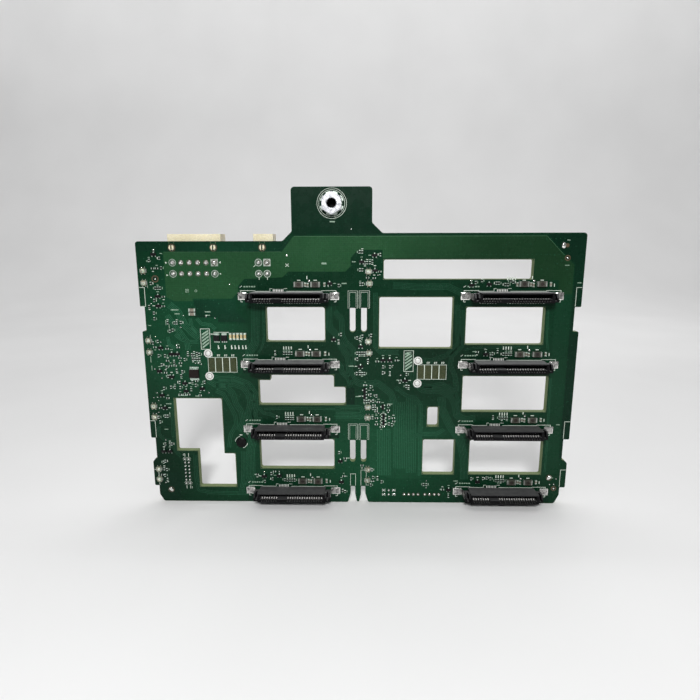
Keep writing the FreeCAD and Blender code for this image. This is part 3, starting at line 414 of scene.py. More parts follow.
chip_black = plastic("moulded_chip_black", (0.0050, 0.0046, 0.0050), (0.0100, 0.0090, 0.0100), 0.40, 0.58, 3200, 0.3,
                     wear_and_highlight=0.25, wear_and_highlight_col=(0.06, 0.058, 0.062), edges=0.00008, spec=0.14)
res_black = plastic("resistor_film_glaze", (0.0060, 0.0060, 0.0055), (0.0140, 0.0130, 0.0120), 0.30, 0.48, 2600, 0.25, edges=0.00006, spec=0.18)
cap_tan = plastic("capacitor_ceramic_tan", (0.13, 0.115, 0.090), (0.24, 0.21, 0.165), 0.42, 0.6, 2400, 0.25, edges=0.00008)
choke_grey = plastic("choke_ferrite_grey", (0.030, 0.031, 0.023), (0.062, 0.064, 0.046), 0.48, 0.66, 1800, 0.35, edges=0.00015)
choke_well = plastic("choke_winding_dark", (0.010, 0.008, 0.006), (0.030, 0.020, 0.014), 0.35, 0.5, 3000, 0.5, edges=0.00008)
film_orange = plastic("film_chip_orange", (0.42, 0.33, 0.16), (0.58, 0.47, 0.26), 0.34, 0.5, 1600, 0.2, edges=0.00012)
led_white = plastic("light_white_moulding", (0.15, 0.165, 0.105), (0.30, 0.31, 0.215), 0.34, 0.5, 2000, 0.2, edges=0.00012)
led_lens = Mat("light_cast_resin")
led_lens.color(led_lens.ramp(led_lens.noise(1300, 2), [(0.36, (0.15, 0.18, 0.12)), (0.60, (0.70, 0.72, 0.63))]))
led_lens.rough(led_lens.ramp(led_lens.noise(500, 2), [(0.3, 0.14), (0.7, 0.26)]))
led_lens.set(Subsurface_Weight=0.35, Subsurface_Scale=0.0006, Coat_Weight=0.5, Coat_Roughness=0.1)
led_lens.bump(led_lens.noise(1200, 2), 0.12, 0.00004)


def give(names, M):
    for n in names:
        o = N[n]
        o.data.materials.clear()
        o.data.materials.append(M.m)


give(["circuit_board"], mask_board)
give(["drive_socket_%d" % i for i in range(1, 9)], socket_black)
give(["drive_socket_contacts_%d" % i for i in range(1, 9)], contact_spring)
give(["drive_socket_clips_%d" % i for i in range(1, 9)], clip_tin)
give(["mounting_nut"], nut_metal)
give(["power_header_12_body", "power_header_4_body"], cream)
give(["power_header_12_pins", "power_header_4_pins", "service_header_pins"], pin_tin)
give(["hole_plug"], plug_black)
give(["data_receptacle_left", "data_receptacle_right", "service_header_body"], recept_black)
give(["data_receptacle_contacts_left", "data_receptacle_contacts_right"], contact_au)
give(["data_receptacle_cage_left", "data_receptacle_cage_right"], cage_metal)
give(["microcontroller_body"], chip_brown)
give(["transistor_bodies", "regulator_bodies"], chip_black)
give(["microcontroller_leads", "transistor_leads", "regulator_leads", "resistor_terminals", "capacitor_terminals",
      "film_chip_terminals"], chip_tin)
give(["light_terminals"], led_tin)
give(["choke_terminals"], choke_tin)
give(["resistor_bodies"], res_black)
give(["capacitor_bodies"], cap_tan)
give(["choke_bodies"], choke_grey)
give(["choke_coils"], choke_well)
give(["film_chip_bodies"], film_orange)
give(["light_bases"], led_white)
give(["light_lenses"], led_lens)


# ------------------------------------------------------------------ flat work
class Flat:
    """Thin closed shapes on one face of the board, gathered into one mesh."""

    def __init__(self, name, M, slot_name, h0, h1, rear=False):
        self.name, self.M, self.slot = name, M, slot_name
        self.h0, self.h1, self.rear = h0, h1, rear
        self.v, self.f = [], []

    def add(self, verts, faces):
        k = len(self.v)
        self.v.extend(verts)
        self.f.extend([tuple(i + k for i in f) for f in faces])

    def prism(self, pts, h0=None, h1=None):
        h0 = self.h0 if h0 is None else h0
        h1 = self.h1 if h1 is None else h1
        a = sum(p[0] * q[1] - q[0] * p[1] for p, q in zip(pts, pts[1:] + pts[:1]))
        if a < 0:
            pts = pts[::-1]
        if self.rear:
            pts = pts[::-1]
        n = len(pts)
        vs = [W(x, h0, z, self.rear) for x, z in pts] + [W(x, h1, z, self.rear) for x, z in pts]
        fs = [tuple(range(n, 2 * n)), tuple(range(n - 1, -1, -1))]
        for i in range(n):
            j = (i + 1) % n
            fs.append((i, j, n + j, n + i))
        self.add(vs, fs)

    def rect(self, x0, z0, x1, z1, **k):
        x0, x1 = min(x0, x1), max(x0, x1)
        z0, z1 = min(z0, z1), max(z0, z1)
        self.prism([(x0, z0), (x1, z0), (x1, z1), (x0, z1)], **k)

    def bar(self, x, z, w, l, **k):
        self.rect(x - w / 2, z - l / 2, x + w / 2, z + l / 2, **k)

    def line(self, pts, w, closed=False, **k):
        """strip of width w along a run of points, mitred at the corners"""
        h0 = k.get("h0", self.h0)
        h1 = k.get("h1", self.h1)
        n = len(pts)
        L, R = [], []
        for i in range(n):
            p = pts[i]
            a = pts[i - 1] if (i or closed) else None
            b = pts[(i + 1) % n] if (i < n - 1 or closed) else None
            ds = []
            if a is not None:
                d = (p[0] - a[0], p[1] - a[1])
                s = math.hypot(*d) or 1.0
                ds.append((d[0] / s, d[1] / s))
            if b is not None:
                d = (b[0] - p[0], b[1] - p[1])
                s = math.hypot(*d) or 1.0
                ds.append((d[0] / s, d[1] / s))
            tx = sum(d[0] for d in ds) / len(ds)
            tz = sum(d[1] for d in ds) / len(ds)
            s = math.hypot(tx, tz) or 1.0
            tx, tz = tx / s, tz / s
            m = w / 2
            if len(ds) == 2:
                m = w / 2 / max(0.5, tx * ds[0][0] + tz * ds[0][1])
            L.append((p[0] - tz * m, p[1] + tx * m))
            R.append((p[0] + tz * m, p[1] - tx * m))
        if self.rear:
            L, R = R, L
        vs = []
        for l, r in zip(L, R):
            vs += [W(*(l[0], h0, l[1]), self.rear), W(*(r[0], h0, r[1]), self.rear),
                   W(*(r[0], h1, r[1]), self.rear), W(*(l[0], h1, l[1]), self.rear)]
        fs = []
        m = n if closed else n - 1
        for i in range(m):
            a, b = 4 * i, 4 * ((i + 1) % n)
            fs += [(a + 3, a + 2, b + 2, b + 3), (a + 0, b + 0, b + 1, a + 1),
                   (a + 2, a + 1, b + 1, b + 2), (a + 0, a + 3, b + 3, b + 0)]
        if not closed:
            e = 4 * (n - 1)
            fs += [(0, 1, 2, 3), (e + 3, e + 2, e + 1, e + 0)]
        self.add(vs, fs)

    def frame(self, x0, z0, x1, z1, w, **k):
        self.line([(x0, z0), (x1, z0), (x1, z1), (x0, z1)], w, closed=True, **k)

    def circle(self, x, z, r, w, n=40, a0=0.0, a1=360.0, **k):
        full = abs(a1 - a0) >= 359.9
        m = n if full else n + 1
        pts = [(x + r * math.cos(math.radians(a0 + (a1 - a0) * i / n)),
                z + r * math.sin(math.radians(a0 + (a1 - a0) * i / n))) for i in range(m)]
        self.line(pts, w, closed=full, **k)

    def disc(self, x, z, r, n=24, ax=1.0, rot=0.0, **k):
        c, s = math.cos(rot), math.sin(rot)
        pts = []
        for i in range(n):
            a = 2 * math.pi * i / n
            u, v = r * math.cos(a), r * ax * math.sin(a)
            pts.append((x + u * c - v * s, z + u * s + v * c))
        self.prism(pts, **k)

    def lathe(self, x, z, prof, n=20, ax=1.0, rot=0.0):
        """closed turned shape: prof is (radius, h) from the foot to the tip, ends closed"""
        c, s = math.cos(rot), math.sin(rot)
        vs, fs = [], []
        for r, h in prof:
            for i in range(n):
                a = 2 * math.pi * i / n * (-1 if self.rear else 1)
                u, v = r * math.cos(a), r * ax * math.sin(a)
                vs.append(W(x + u * c - v * s, h, z + u * s + v * c, self.rear))
        for k in range(len(prof) - 1):
            for i in range(n):
                j = (i + 1) % n
                fs.append((k * n + i, k * n + j, (k + 1) * n + j, (k + 1) * n + i))
        fs.append(tuple(range(n - 1, -1, -1)))
        fs.append(tuple(range((len(prof) - 1) * n, len(prof) * n)))
        self.add(vs, fs)

    def skirt(self, x0, z0, x1, z1, g, h0, h1, top=0.0):
        """solder run up against a part: wide at the foot, close at the top"""
        b = [(x0 - g, z0 - g), (x1 + g, z0 - g), (x1 + g, z1 + g), (x0 - g, z1 + g)]
        m = [(x0 - g * .35 - top, z0 - g * .35 - top), (x1 + g * .35 + top, z0 - g * .35 - top),
             (x1 + g * .35 + top, z1 + g * .35 + top), (x0 - g * .35 - top, z1 + g * .35 + top)]
        t = [(x0 - top, z0 - top), (x1 + top, z0 - top), (x1 + top, z1 + top), (x0 - top, z1 + top)]
        if self.rear:
            b, m, t = b[::-1], m[::-1], t[::-1]
        hm = h0 + (h1 - h0) * 0.38
        vs = [W(x, h0, z, self.rear) for x, z in b] + [W(x, hm, z, self.rear) for x, z in m] + \
             [W(x, h1, z, self.rear) for x, z in t]
        fs = [(3, 2, 1, 0), (8, 9, 10, 11)]
        for k in (0, 4):
            for i in range(4):
                j = (i + 1) % 4
                fs.append((k + i, k + j, k + 4 + j, k + 4 + i))
        self.add(vs, fs)

    def build(self, smooth=False):
        me = bpy.data.meshes.new(self.name)
        me.from_pydata(self.v, [], self.f)
        me.validate()
        me.update()
        if smooth:
            for p in me.polygons:
                p.use_smooth = True
        o = bpy.data.objects.new(self.name, me)
        bpy.context.scene.collection.objects.link(o)
        me.materials.append(self.M.m)
        if smooth:
            try:
                me.set_sharp_from_angle(angle=math.radians(48))
            except Exception:
                pass
        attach(o, "root")
        return o


def soften(pts, times=3):
    """round the corners of an open run of points"""
    for _ in range(times):
        q = [pts[0]]
        for a, b in zip(pts, pts[1:]):
            q.append((a[0] * 0.75 + b[0] * 0.25, a[1] * 0.75 + b[1] * 0.25))
            q.append((a[0] * 0.25 + b[0] * 0.75, a[1] * 0.25 + b[1] * 0.75))
        q.append(pts[-1])
        pts = q
    return pts


def offset(pts, d):
    out = []
    n = len(pts)
    for i in range(n):
        a = pts[max(0, i - 1)]
        b = pts[min(n - 1, i + 1)]
        t = (b[0] - a[0], b[1] - a[1])
        s = math.hypot(*t) or 1.0
        out.append((pts[i][0] - t[1] / s * d, pts[i][1] + t[0] / s * d))
    return out


def islands(name):
    """boxes of a node's separate solids, layout mm: (x0, x1, z0, z1, h_top)"""
    me = N[name].data
    co = np.array([v.co for v in me.vertices], float)
    key = np.round(co * 1e6).astype(np.int64)
    uniq, inv = np.unique(key, axis=0, return_inverse=True)
    inv = inv.reshape(-1)
    parent = list(range(len(uniq)))

    def find(a):
        while parent[a] != a:
            parent[a] = parent[parent[a]]
            a = parent[a]
        return a

    for p in me.polygons:
        vs = [inv[i] for i in p.vertices]
        r = find(vs[0])
        for q in vs[1:]:
            s = find(q)
            if s != r:
                parent[s] = r
    groups = {}
    for i in range(len(uniq)):
        groups.setdefault(find(i), []).append(i)
    out = []
    for g in groups.values():
        c = uniq[g] / 1e6 * 1000.0
        lo, hi = c.min(0), c.max(0)
        out.append((lo[0] - X_OFF, hi[0] - X_OFF, lo[2] - Z_OFF, hi[2] - Z_OFF, YF - lo[1]))
    out.sort()
    return out


ROW_Z = (111.85, 76.75, 41.65, 6.55)
COL_X = (-35.65, 76.0)
PH_ROWS_Z = (128.5, 123.0)
PH12_COLS = [-82.55 + 4.2 * (k - 2.5) for k in range(6)]
PH4_COLS = [-50.1, -45.9]
PEGS = (-92.9, -72.2, -48.0)
NUT = (-13.5, 156.7)
DATA_PEGS = ((-77.8, 82.4), (-77.7, 70.4), (29.95, 78.75), (29.95, 66.75))
SH_COLS = (-93.55, -91.55)
SH_ROWS = [24.45 - 1.98 * k for k in range(8)]

OUTLINE = [
    (-106.4, 0.0), (-108.6, 3.9), (-108.6, 9.1), (-110.9, 9.1), (-110.9, 22.9), (-109.3, 24.8),
    (-108.6, 24.8), (-108.6, 36.4), (-110.9, 36.4), (-110.9, 94.0), (-108.75, 94.0), (-108.75, 106.5),
    (-111.0, 106.5), (-111.0, 138.9), (-38.0, 138.9), (-33.3, 143.5), (-33.3, 164.5), (6.1, 164.5),
    (6.1, 147.6), (11.2, 142.65), (110.5, 142.65), (110.5, 106.4), (107.4, 106.4), (107.4, 94.0),
    (110.3, 94.0), (110.3, 36.5), (107.3, 36.5), (107.3, 24.9), (108.5, 24.9), (110.2, 23.2),
    (110.2, 9.3), (107.3, 9.3), (107.3, 5.0), (105.0, 0.0)]
OPEN = {
    "a": [(-97.2, 58.3), (-72.1, 58.3), (-72.1, 27.7), (-66.3, 27.7), (-66.3, 8.6), (-86.1, 8.6), (-86.1, 29.3), (-97.2, 29.3)],
    "b": [(-47.1, 88.8), (-17.5, 88.8), (-17.5, 106.3), (-47.1, 106.3)],
    "c": [(-52.2, 55.1), (-7.2, 55.1), (-7.2, 64.7), (-13.2, 64.7), (-13.2, 71.1), (-46.0, 71.1), (-46.0, 68.3), (-52.2, 68.3)],
    "d": [(-52.7, 19.4), (-13.3, 19.4), (-13.3, 36.0), (-52.7, 36.0)],
    "top": [(12.0, 120.3), (85.5, 120.3), (85.5, 129.8), (12.0, 129.8)],
    "mid": [(10.0, 85.4), (46.9, 85.4), (46.9, 111.3), (10.0, 111.3)],
    "rb": [(53.6, 87.4), (92.7, 87.4), (92.7, 106.3), (53.6, 106.3)],
    "rc": [(53.3, 51.7), (96.8, 51.7), (96.8, 70.7), (53.3, 70.7)],
    "rd": [(58.4, 16.7), (96.7, 16.7), (96.7, 35.9), (58.4, 35.9)],
    "sq": [(33.7, 16.5), (50.4, 16.5), (50.4, 36.1), (33.7, 36.1)],
    "small": [(35.6, 43.4), (41.3, 43.4), (41.3, 54.0), (35.6, 54.0)],
}
SLOTS = [(-4.9, 93.6, -2.0, 105.9), (0.85, 93.6, 3.75, 105.9), (-4.9, 23.4, -2.0, 35.6), (0.85, 23.4, 3.75, 35.6),
         (-4.6, -1, -2.1, 9.3), (0.95, -1, 3.35, 9.3)]


def inside(pts, x, z):
    c = False
    n = len(pts)
    for i in range(n):
        (x0, z0), (x1, z1) = pts[i], pts[(i + 1) % n]
        if (z0 > z) != (z1 > z) and x < (x1 - x0) * (z - z0) / (z1 - z0) + x0:
            c = not c
    return c


def near_edge(pts, x, z, d):
    n = len(pts)
    for i in range(n):
        (x0, z0), (x1, z1) = pts[i], pts[(i + 1) % n]
        vx, vz = x1 - x0, z1 - z0
        t = max(0.0, min(1.0, ((x - x0) * vx + (z - z0) * vz) / (vx * vx + vz * vz)))
        if math.hypot(x - x0 - vx * t, z - z0 - vz * t) < d:
            return True
    return False


def on_board(x, z, m=0.6):
    """true where the board has material, at least m from any edge"""
    if not inside(OUTLINE, x, z) or near_edge(OUTLINE, x, z, m):
        return False
    for p in OPEN.values():
        if inside(p, x, z) or near_edge(p, x, z, m):
            return False
    for x0, z0, x1, z1 in SLOTS:
        if x0 - m < x < x1 + m and z0 - m < z < z1 + m:
            return False
    if math.hypot(x - NUT[0], z - NUT[1]) < 3.1 + m:
        return False
    return True


def grown(pts, d):
    """closed outline moved outward (d > 0) with mitred corners"""
    n = len(pts)
    a = sum(p[0] * q[1] - q[0] * p[1] for p, q in zip(pts, pts[1:] + pts[:1]))
    sgn = 1 if a > 0 else -1
    out = []
    for i in range(n):
        p0, p1, p2 = pts[i - 1], pts[i], pts[(i + 1) % n]
        d0 = (p1[0] - p0[0], p1[1] - p0[1])
        d1 = (p2[0] - p1[0], p2[1] - p1[1])
        l0, l1 = math.hypot(*d0), math.hypot(*d1)
        n0 = (d0[1] / l0 * sgn, -d0[0] / l0 * sgn)
        n1 = (d1[1] / l1 * sgn, -d1[0] / l1 * sgn)
        bx, bz = n0[0] + n1[0], n0[1] + n1[1]
        k = 1.0 + n0[0] * n1[0] + n0[1] * n1[1]
        k = max(k, 0.3)
        out.append((p1[0] + bx * d / k, p1[1] + bz * d / k))
    return out


# ------------------------------------------------------------------ front: mask zones
H_POUR = 0.030
pour_l = Flat("front_copper_pour", mask_light, "board_laminate", -0.02, H_POUR)
# dark bare zones; the same layer holds painted shadow bands under the sockets
pour_d = Flat("front_bare_zones_and_painted_shadows", mask_dark, "board_laminate", -0.02, 0.012)
pour_s = Flat("front_signal_zones", mask_soft, "board_laminate", -0.02, 0.020)

# the pour behind the power headers, across the tab's foot and along the top edge
pour_l.prism([(-97.3, 133.6), (-97.3, 111.3), (-93.3, 109.3), (-84.0, 109.3), (-84.0, 110.6), (-64.1, 110.6),
              (-60.8, 113.8), (-60.8, 116.9), (-57.5, 120.4), (-38.5, 121.2), (-38.5, 133.6)])
pour_l.prism([(-38.5, 133.6), (-38.5, 121.2), (-35.3, 124.0), (-7.1, 124.0), (-4.4, 126.6), (-4.4, 130.6),
              (-1.0, 134.6), (11.3, 134.6), (11.3, 130.6), (86.2, 130.6), (86.2, 119.8), (98.5, 119.8), (98.5, 112.8),
              (105.4, 112.8), (105.4, 127.2), (100.2, 131.9), (91.2, 141.1), (-32.6, 141.1)])
# right-hand column, down to the last socket
pour_s.prism([(97.6, 113.0), (105.5, 113.0), (105.6, 16.9), (100.4, 16.9), (97.6, 14.5)])
# strips between and under the bays
pour_s.prism([(-56.6, 86.6), (-72.0, 86.6), (-72.0, 97.7), (-56.6, 97.7)])
pour_s.prism([(5.4, 44.0), (8.0, 41.5), (19.0, 42.5), (33.0, 41.5), (33.0, 13.8), (17.5, 13.8), (5.4, 17.2)])
pour_s.prism([(34.0, 42.0), (52.8, 42.0), (52.8, 49.0), (56.4, 49.0), (56.4, 37.4), (34.0, 37.4)])
pour_s.prism([(-12.0, 53.6), (-1.8, 53.6), (-1.8, 46.2), (-12.0, 46.2)])
# bare bands: along the top edge, in the tab, corners, down the right edge; beneath the sockets the dark bands are
# painted shadow
pour_d.prism([(-96.8, 133.95), (-38.2, 133.95), (-33.9, 138.5), (-96.8, 138.5)])
def tab_zone(layer, foot):
    """the tab's bare zone in two halves, left open round the nut's hole"""
    nx, nz = NUT
    arc = [(math.cos(math.radians(a)) * 3.0, math.sin(math.radians(a)) * 3.0) for a in range(-90, 91, 10)]
    layer.prism([(-32.9, foot), (nx, foot)] + [(nx - u, nz + v) for u, v in arc]
                + [(nx, 164.1), (-31.6, 164.1), (-32.9, 163.2)])
    layer.prism([(nx, foot), (11.0, foot), (5.7, 147.4), (5.7, 162.8), (4.4, 164.1), (nx, 164.1)]
                + [(nx + u, nz + v) for u, v in arc[::-1]])


tab_zone(pour_d, 142.25)
pour_d.prism([(-32.9, 141.6), (-32.9, 142.25), (-26.0, 142.25), (-26.0, 141.6)])
pour_d.prism([(-110.5, 134.0), (-110.5, 138.0), (-109.9, 138.5), (-97.2, 138.5), (-97.2, 134.0)])
pour_d.prism([(91.9, 141.4), (100.5, 132.4), (105.8, 127.6), (105.8, 107.0), (110.0, 107.0), (110.0, 141.2), (109.2, 142.2),
              (91.9, 142.2)])
pour_d.prism([(105.9, 106.6), (105.9, 26.0), (107.0, 26.0), (107.0, 106.6)])
pour_d.prism([(107.2, 93.2), (107.2, 37.0), (109.8, 37.0), (109.8, 93.2)])
pour_d.prism([(-83.6, 109.9), (-62.2, 109.9), (-62.2, 104.4), (-57.0, 98.6), (-71.8, 98.6), (-71.8, 101.0), (-83.6, 101.0)])
# painted shadow: a dark band on the board just under each socket
for (xa, xb, za, zb) in ((-60.2, -10.6, 106.9, 109.5), (51.8, 104.9, 107.0, 109.5), (-60.2, -10.6, 71.9, 74.3),
                         (51.8, 97.2, 71.3, 74.2), (-60.2, -10.6, 36.6, 39.2), (51.8, 97.2, 36.6, 39.0),
                         (-60.2, -10.6, 0.6, 4.1), (51.8, 102.0, 0.6, 4.1)):
    pour_d.prism([(xa, za), (xb, za), (xb, zb), (xa, zb)])
pour_d.prism([(-106.0, 16.4), (-97.0, 16.4), (-97.0, 0.9), (-105.6, 0.9), (-107.9, 4.4), (-107.9, 9.6), (-106.0, 9.6)])
pour_d.prism([(-7.0, 64.3), (-2.4, 64.3), (-2.4, 55.2), (-7.0, 55.2)])

# ------------------------------------------------------------------ front: tracks under the mask
H_TRACK = 0.046
track_l = Flat("front_tracks_left", mask_track, "board_laminate", -0.02, H_TRACK)
track_r = Flat("front_tracks_right", mask_track, "board_laminate", -0.02, H_TRACK)


def bundle(layer, pts, count, pitch=0.62, w=0.34, times=3, keep=0.45):
    """parallel tracks along a run; a track stops where it would leave the board"""
    base = soften(pts, times)
    for k in range(count):
        run = offset(base, (k - (count - 1) / 2) * pitch)
        # on the inside of a tight bend the points fold back: leave those out
        flat = [run[0]]
        for i in range(1, len(run)):
            ux, uz = base[i][0] - base[i - 1][0], base[i][1] - base[i - 1][1]
            vx, vz = run[i][0] - flat[-1][0], run[i][1] - flat[-1][1]
            if ux * vx + uz * vz > 0.02 * (ux * ux + uz * uz):
                flat.append(run[i])
        run = flat
        part = []
        for p in run:
            if on_board(p[0], p[1], keep):
                part.append(p)
            else:
                if len(part) > 2:
                    layer.line(part, w)
                part = []
        if len(part) > 2:
            layer.line(part, w)


def dense(pts, step=1.5):
    out = [pts[0]]
    for a, b in zip(pts, pts[1:]):
        n = max(1, int(math.hypot(b[0] - a[0], b[1] - a[1]) / step))
        for i in range(1, n + 1):
            out.append((a[0] + (b[0] - a[0]) * i / n, a[1] + (b[1] - a[1]) * i / n))
    return out


BUNDLES = [
    # left of the first column: from the four-cell outline round and down between the openings
    ([(-78.5, 68.6), (-75.0, 66.2), (-65.4, 66.6), (-60.2, 64.6), (-57.2, 60.4), (-56.6, 55.6), (-58.2, 50.3), (-57.2, 45.2), (-60.0, 40.0)], 5, 0.85),
    ([(-76.5, 70.0), (-72.8, 68.9), (-65.6, 69.3), (-57.6, 66.4), (-53.9, 60.6), (-53.6, 54.4), (-55.2, 50.0), (-54.4, 46.2), (-51.0, 46.8)], 4, 0.8),
    ([(-74.6, 64.9), (-69.4, 64.6), (-66.1, 61.3), (-64.7, 55.3), (-61.9, 50.9), (-61.4, 45.4), (-63.8, 40.4)], 4, 0.85),
    ([(-74.9, 62.4), (-70.9, 60.8), (-68.3, 55.2), (-65.4, 49.3), (-65.0, 44.0), (-68.2, 38.6), (-69.6, 31.0)], 3, 0.85),
    ([(-57.8, 40.6), (-56.4, 36.2), (-57.9, 30.0), (-58.2, 14.8), (-60.2, 9.2)], 6, 0.8),
    ([(-61.6, 28.8), (-62.3, 12.6), (-64.0, 5.2)], 4, 0.8),
    ([(-52.4, 53.2), (-50.4, 50.3), (-46.6, 49.7), (-44.0, 48.4)], 3, 0.7),
    # above the first opening, from the headers down to the sensor parts
    ([(-96.2, 107.6), (-91.9, 104.0), (-88.9, 97.2), (-84.4, 92.4), (-82.0, 90.6)], 5, 0.8),
    ([(-97.6, 102.2), (-94.4, 97.4), (-91.2, 92.9), (-88.3, 88.7), (-88.0, 84.2)], 4, 0.8),
    ([(-82.6, 100.6), (-80.4, 97.8), (-75.6, 97.2), (-73.2, 95.0)], 3, 0.7),
    ([(-86.0, 100.6), (-85.4, 96.4), (-82.0, 92.6)], 3, 0.7),
    # beside the openings under the sockets
    ([(-52.4, 108.8), (-52.6, 100.0), (-53.4, 87.6), (-56.4, 83.4), (-57.0, 74.0)], 6, 0.75),
    ([(-48.6, 107.4), (-48.7, 90.6), (-49.6, 86.2), (-52.0, 82.4)], 2, 0.7),
    ([(-15.6, 106.4), (-15.3, 96.0), (-11.6, 92.2), (-9.2, 86.2), (-5.6, 80.4), (-5.0, 73.6), (-3.6, 69.2), (0.0, 66.6), (9.6, 66.8), (16.4, 61.4), (18.2, 56.0)], 5, 0.75),
    ([(-12.6, 104.2), (-9.0, 100.4), (-8.8, 92.4), (-6.9, 88.2), (-3.0, 84.6), (-3.0, 76.6)], 4, 0.75),
    ([(-15.4, 80.4), (-9.7, 76.2), (-8.9, 72.8), (-5.4, 69.4), (-4.6, 65.6)], 4, 0.75),
    ([(-12.9, 53.8), (-4.0, 53.9), (0.8, 53.7), (2.0, 50.8)], 3, 0.9),
    ([(-12.6, 49.4), (-4.0, 49.5), (0.8, 49.2), (1.8, 47.6)], 5, 0.8),
    ([(-50.0, 52.6), (-30.0, 53.1), (-10.0, 52.6)], 2, 0.8),
    ([(7.9, 113.6), (8.1, 104.0), (8.0, 92.0), (8.2, 86.0), (10.6, 83.2), (20.0, 83.0)], 4, 0.65),
    # centre, down to the bottom edge
    ([(12.8, 41.8), (13.0, 34.0), (13.3, 15.6)], 8, 0.95),
    ([(20.6, 56.6), (21.2, 46.0), (21.4, 19.6)], 7, 0.95),
    ([(27.0, 60.6), (27.2, 50.0), (27.6, 17.2)], 6, 0.95),
    ([(18.6, 64.8), (24.2, 60.2), (29.0, 59.0), (32.0, 55.0), (32.2, 40.0), (32.4, 15.6)], 3, 0.8),
    ([(27.2, 76.2), (28.2, 67.6), (33.0, 63.2), (42.2, 63.0), (47.6, 60.0), (50.0, 55.0), (50.9, 49.6), (55.4, 46.9), (60.6, 48.2)], 5, 0.8),
    ([(31.0, 66.0), (36.4, 65.4), (42.6, 66.6), (49.0, 62.8), (51.8, 56.2)], 3, 0.8),
    ([(42.6, 59.6), (43.3, 52.6), (47.6, 43.8), (53.4, 35.6), (55.7, 25.2), (56.2, 13.6)], 6, 0.75),
    ([(44.6, 41.8), (41.0, 39.4), (32.6, 39.2), (28.8, 37.6)], 3, 0.8),
    # right of the middle opening
    ([(48.9, 107.4), (49.4, 96.0), (50.3, 87.6), (44.6, 81.6), (36.6, 78.6), (31.6, 79.4)], 4, 0.7),
    ([(51.9, 105.0), (52.0, 96.0), (52.2, 86.8), (47.2, 81.2), (46.6, 76.4), (49.2, 70.8), (50.4, 62.6)], 4, 0.7),
    ([(16.6, 117.2), (30.0, 116.4), (44.0, 116.6), (50.8, 113.4)], 5, 0.7),
    ([(94.2, 105.4), (94.6, 90.4), (95.6, 84.6)], 2, 0.7),
    ([(98.2, 69.6), (98.4, 54.0), (98.9, 37.0), (98.9, 18.0)], 2, 0.7),
    ([(54.0, 84.6), (58.6, 85.6), (75.0, 85.9), (92.0, 85.6)], 2, 0.7),
    ([(-98.4, 56.6), (-98.7, 44.0), (-99.0, 30.8), (-97.4, 27.6), (-95.8, 26.2)], 3, 0.75),
    ([(-106.4, 43.0), (-106.6, 38.4), (-104.4, 35.6), (-99.6, 34.6)], 3, 0.7),
    ([(-88.0, 26.6), (-88.1, 14.0), (-87.2, 6.4), (-80.4, 5.0), (-60.0, 4.6)], 3, 0.85),
    ([(-98.0, 91.0), (-97.6, 87.0), (-94.6, 85.0)], 3, 0.65),
    ([(-94.2, 92.4), (-91.9, 90.2), (-88.8, 88.6), (-82.4, 88.4)], 3, 0.7),
]
for pts, n, pitch in BUNDLES:
    bundle(track_l if pts[0][0] < 0.0 else track_r, dense(pts), n, pitch)

# ------------------------------------------------------------------ parts on the board, read from the frame
boxes = {n: islands(n) for n in ("resistor_terminals", "capacitor_terminals", "choke_terminals", "film_chip_terminals",
                                 "light_terminals", "transistor_leads", "regulator_leads", "microcontroller_leads",
                                 "transistor_bodies", "resistor_bodies", "capacitor_bodies", "choke_bodies", "light_bases",
                                 "regulator_bodies", "microcontroller_body", "film_chip_bodies")}
busy = [b for v in boxes.values() for b in v]
for xc in COL_X:
    for zc in ROW_Z:
        busy.append((xc - 26.5, xc + 26.5, zc - 4.4, zc + 4.4, 9.5))


def clear(x0, x1, z0, z1, m=0.15):
    return not any(b[0] - m < x1 and b[1] + m > x0 and b[2] - m < z1 and b[3] + m > z0 for b in busy)


pads = Flat("front_tinned_pads", pad_tin, "solder_metal", -0.02, 0.060)
joint = Flat("front_solder_joints", solder, "solder_metal", 0.0, 0.4)
silkf = Flat("front_printing", silk, None, -0.02, 0.075)
marks = Flat("front_worn_marks", faint, None, -0.02, 0.074)
discs = Flat("front_frosted_discs", disc_white, "solder_metal", 0.0, 0.4)
flux = Flat("front_flux_rings", copper_ring, None, -0.02, 0.050)
strip = Flat("front_laminate_strips", laminate, "board_laminate", -0.02, 0.034)
vias = Flat("front_via_dots", solder, "solder_metal", -0.02, 0.068)
tented = Flat("front_tented_vias", mask_track, "board_laminate", 0.0, 0.06)

for n, g in (("resistor_terminals", 0.05), ("capacitor_terminals", 0.08), ("choke_terminals", 0.08), ("film_chip_terminals", 0.16),
             ("light_terminals", 0.08)):
    for x0, x1, z0, z1, h in boxes[n]:
        pads.rect(x0 - g, z0 - g, x1 + g, z1 + g)
        joint.skirt(x0, z0, x1, z1, g * 0.85, 0.05, max(0.16, h * 0.62), top=0.012)
for n, g in (("transistor_leads", 0.06), ("regulator_leads", 0.12), ("microcontroller_leads", 0.05)):
    for x0, x1, z0, z1, h in boxes[n]:
        pads.rect(x0 - g, z0 - g, x1 + g, z1 + g)

# status lights: a small bright dot of solder at each corner
for x0, x1, z0, z1, h in boxes["light_bases"]:
    cx, cz = (x0 + x1) / 2, (z0 + z1) / 2
    for u, v in ((-0.75, 1.72), (0.75, 1.72), (-0.95, -1.66), (0.7, -1.7)):
        if on_board(cx + u, cz + v, 0.35):
            joint.lathe(cx + u, cz + v, [(0.27, 0.0), (0.27, 0.06), (0.2, 0.2), (0.08, 0.26)], 12)

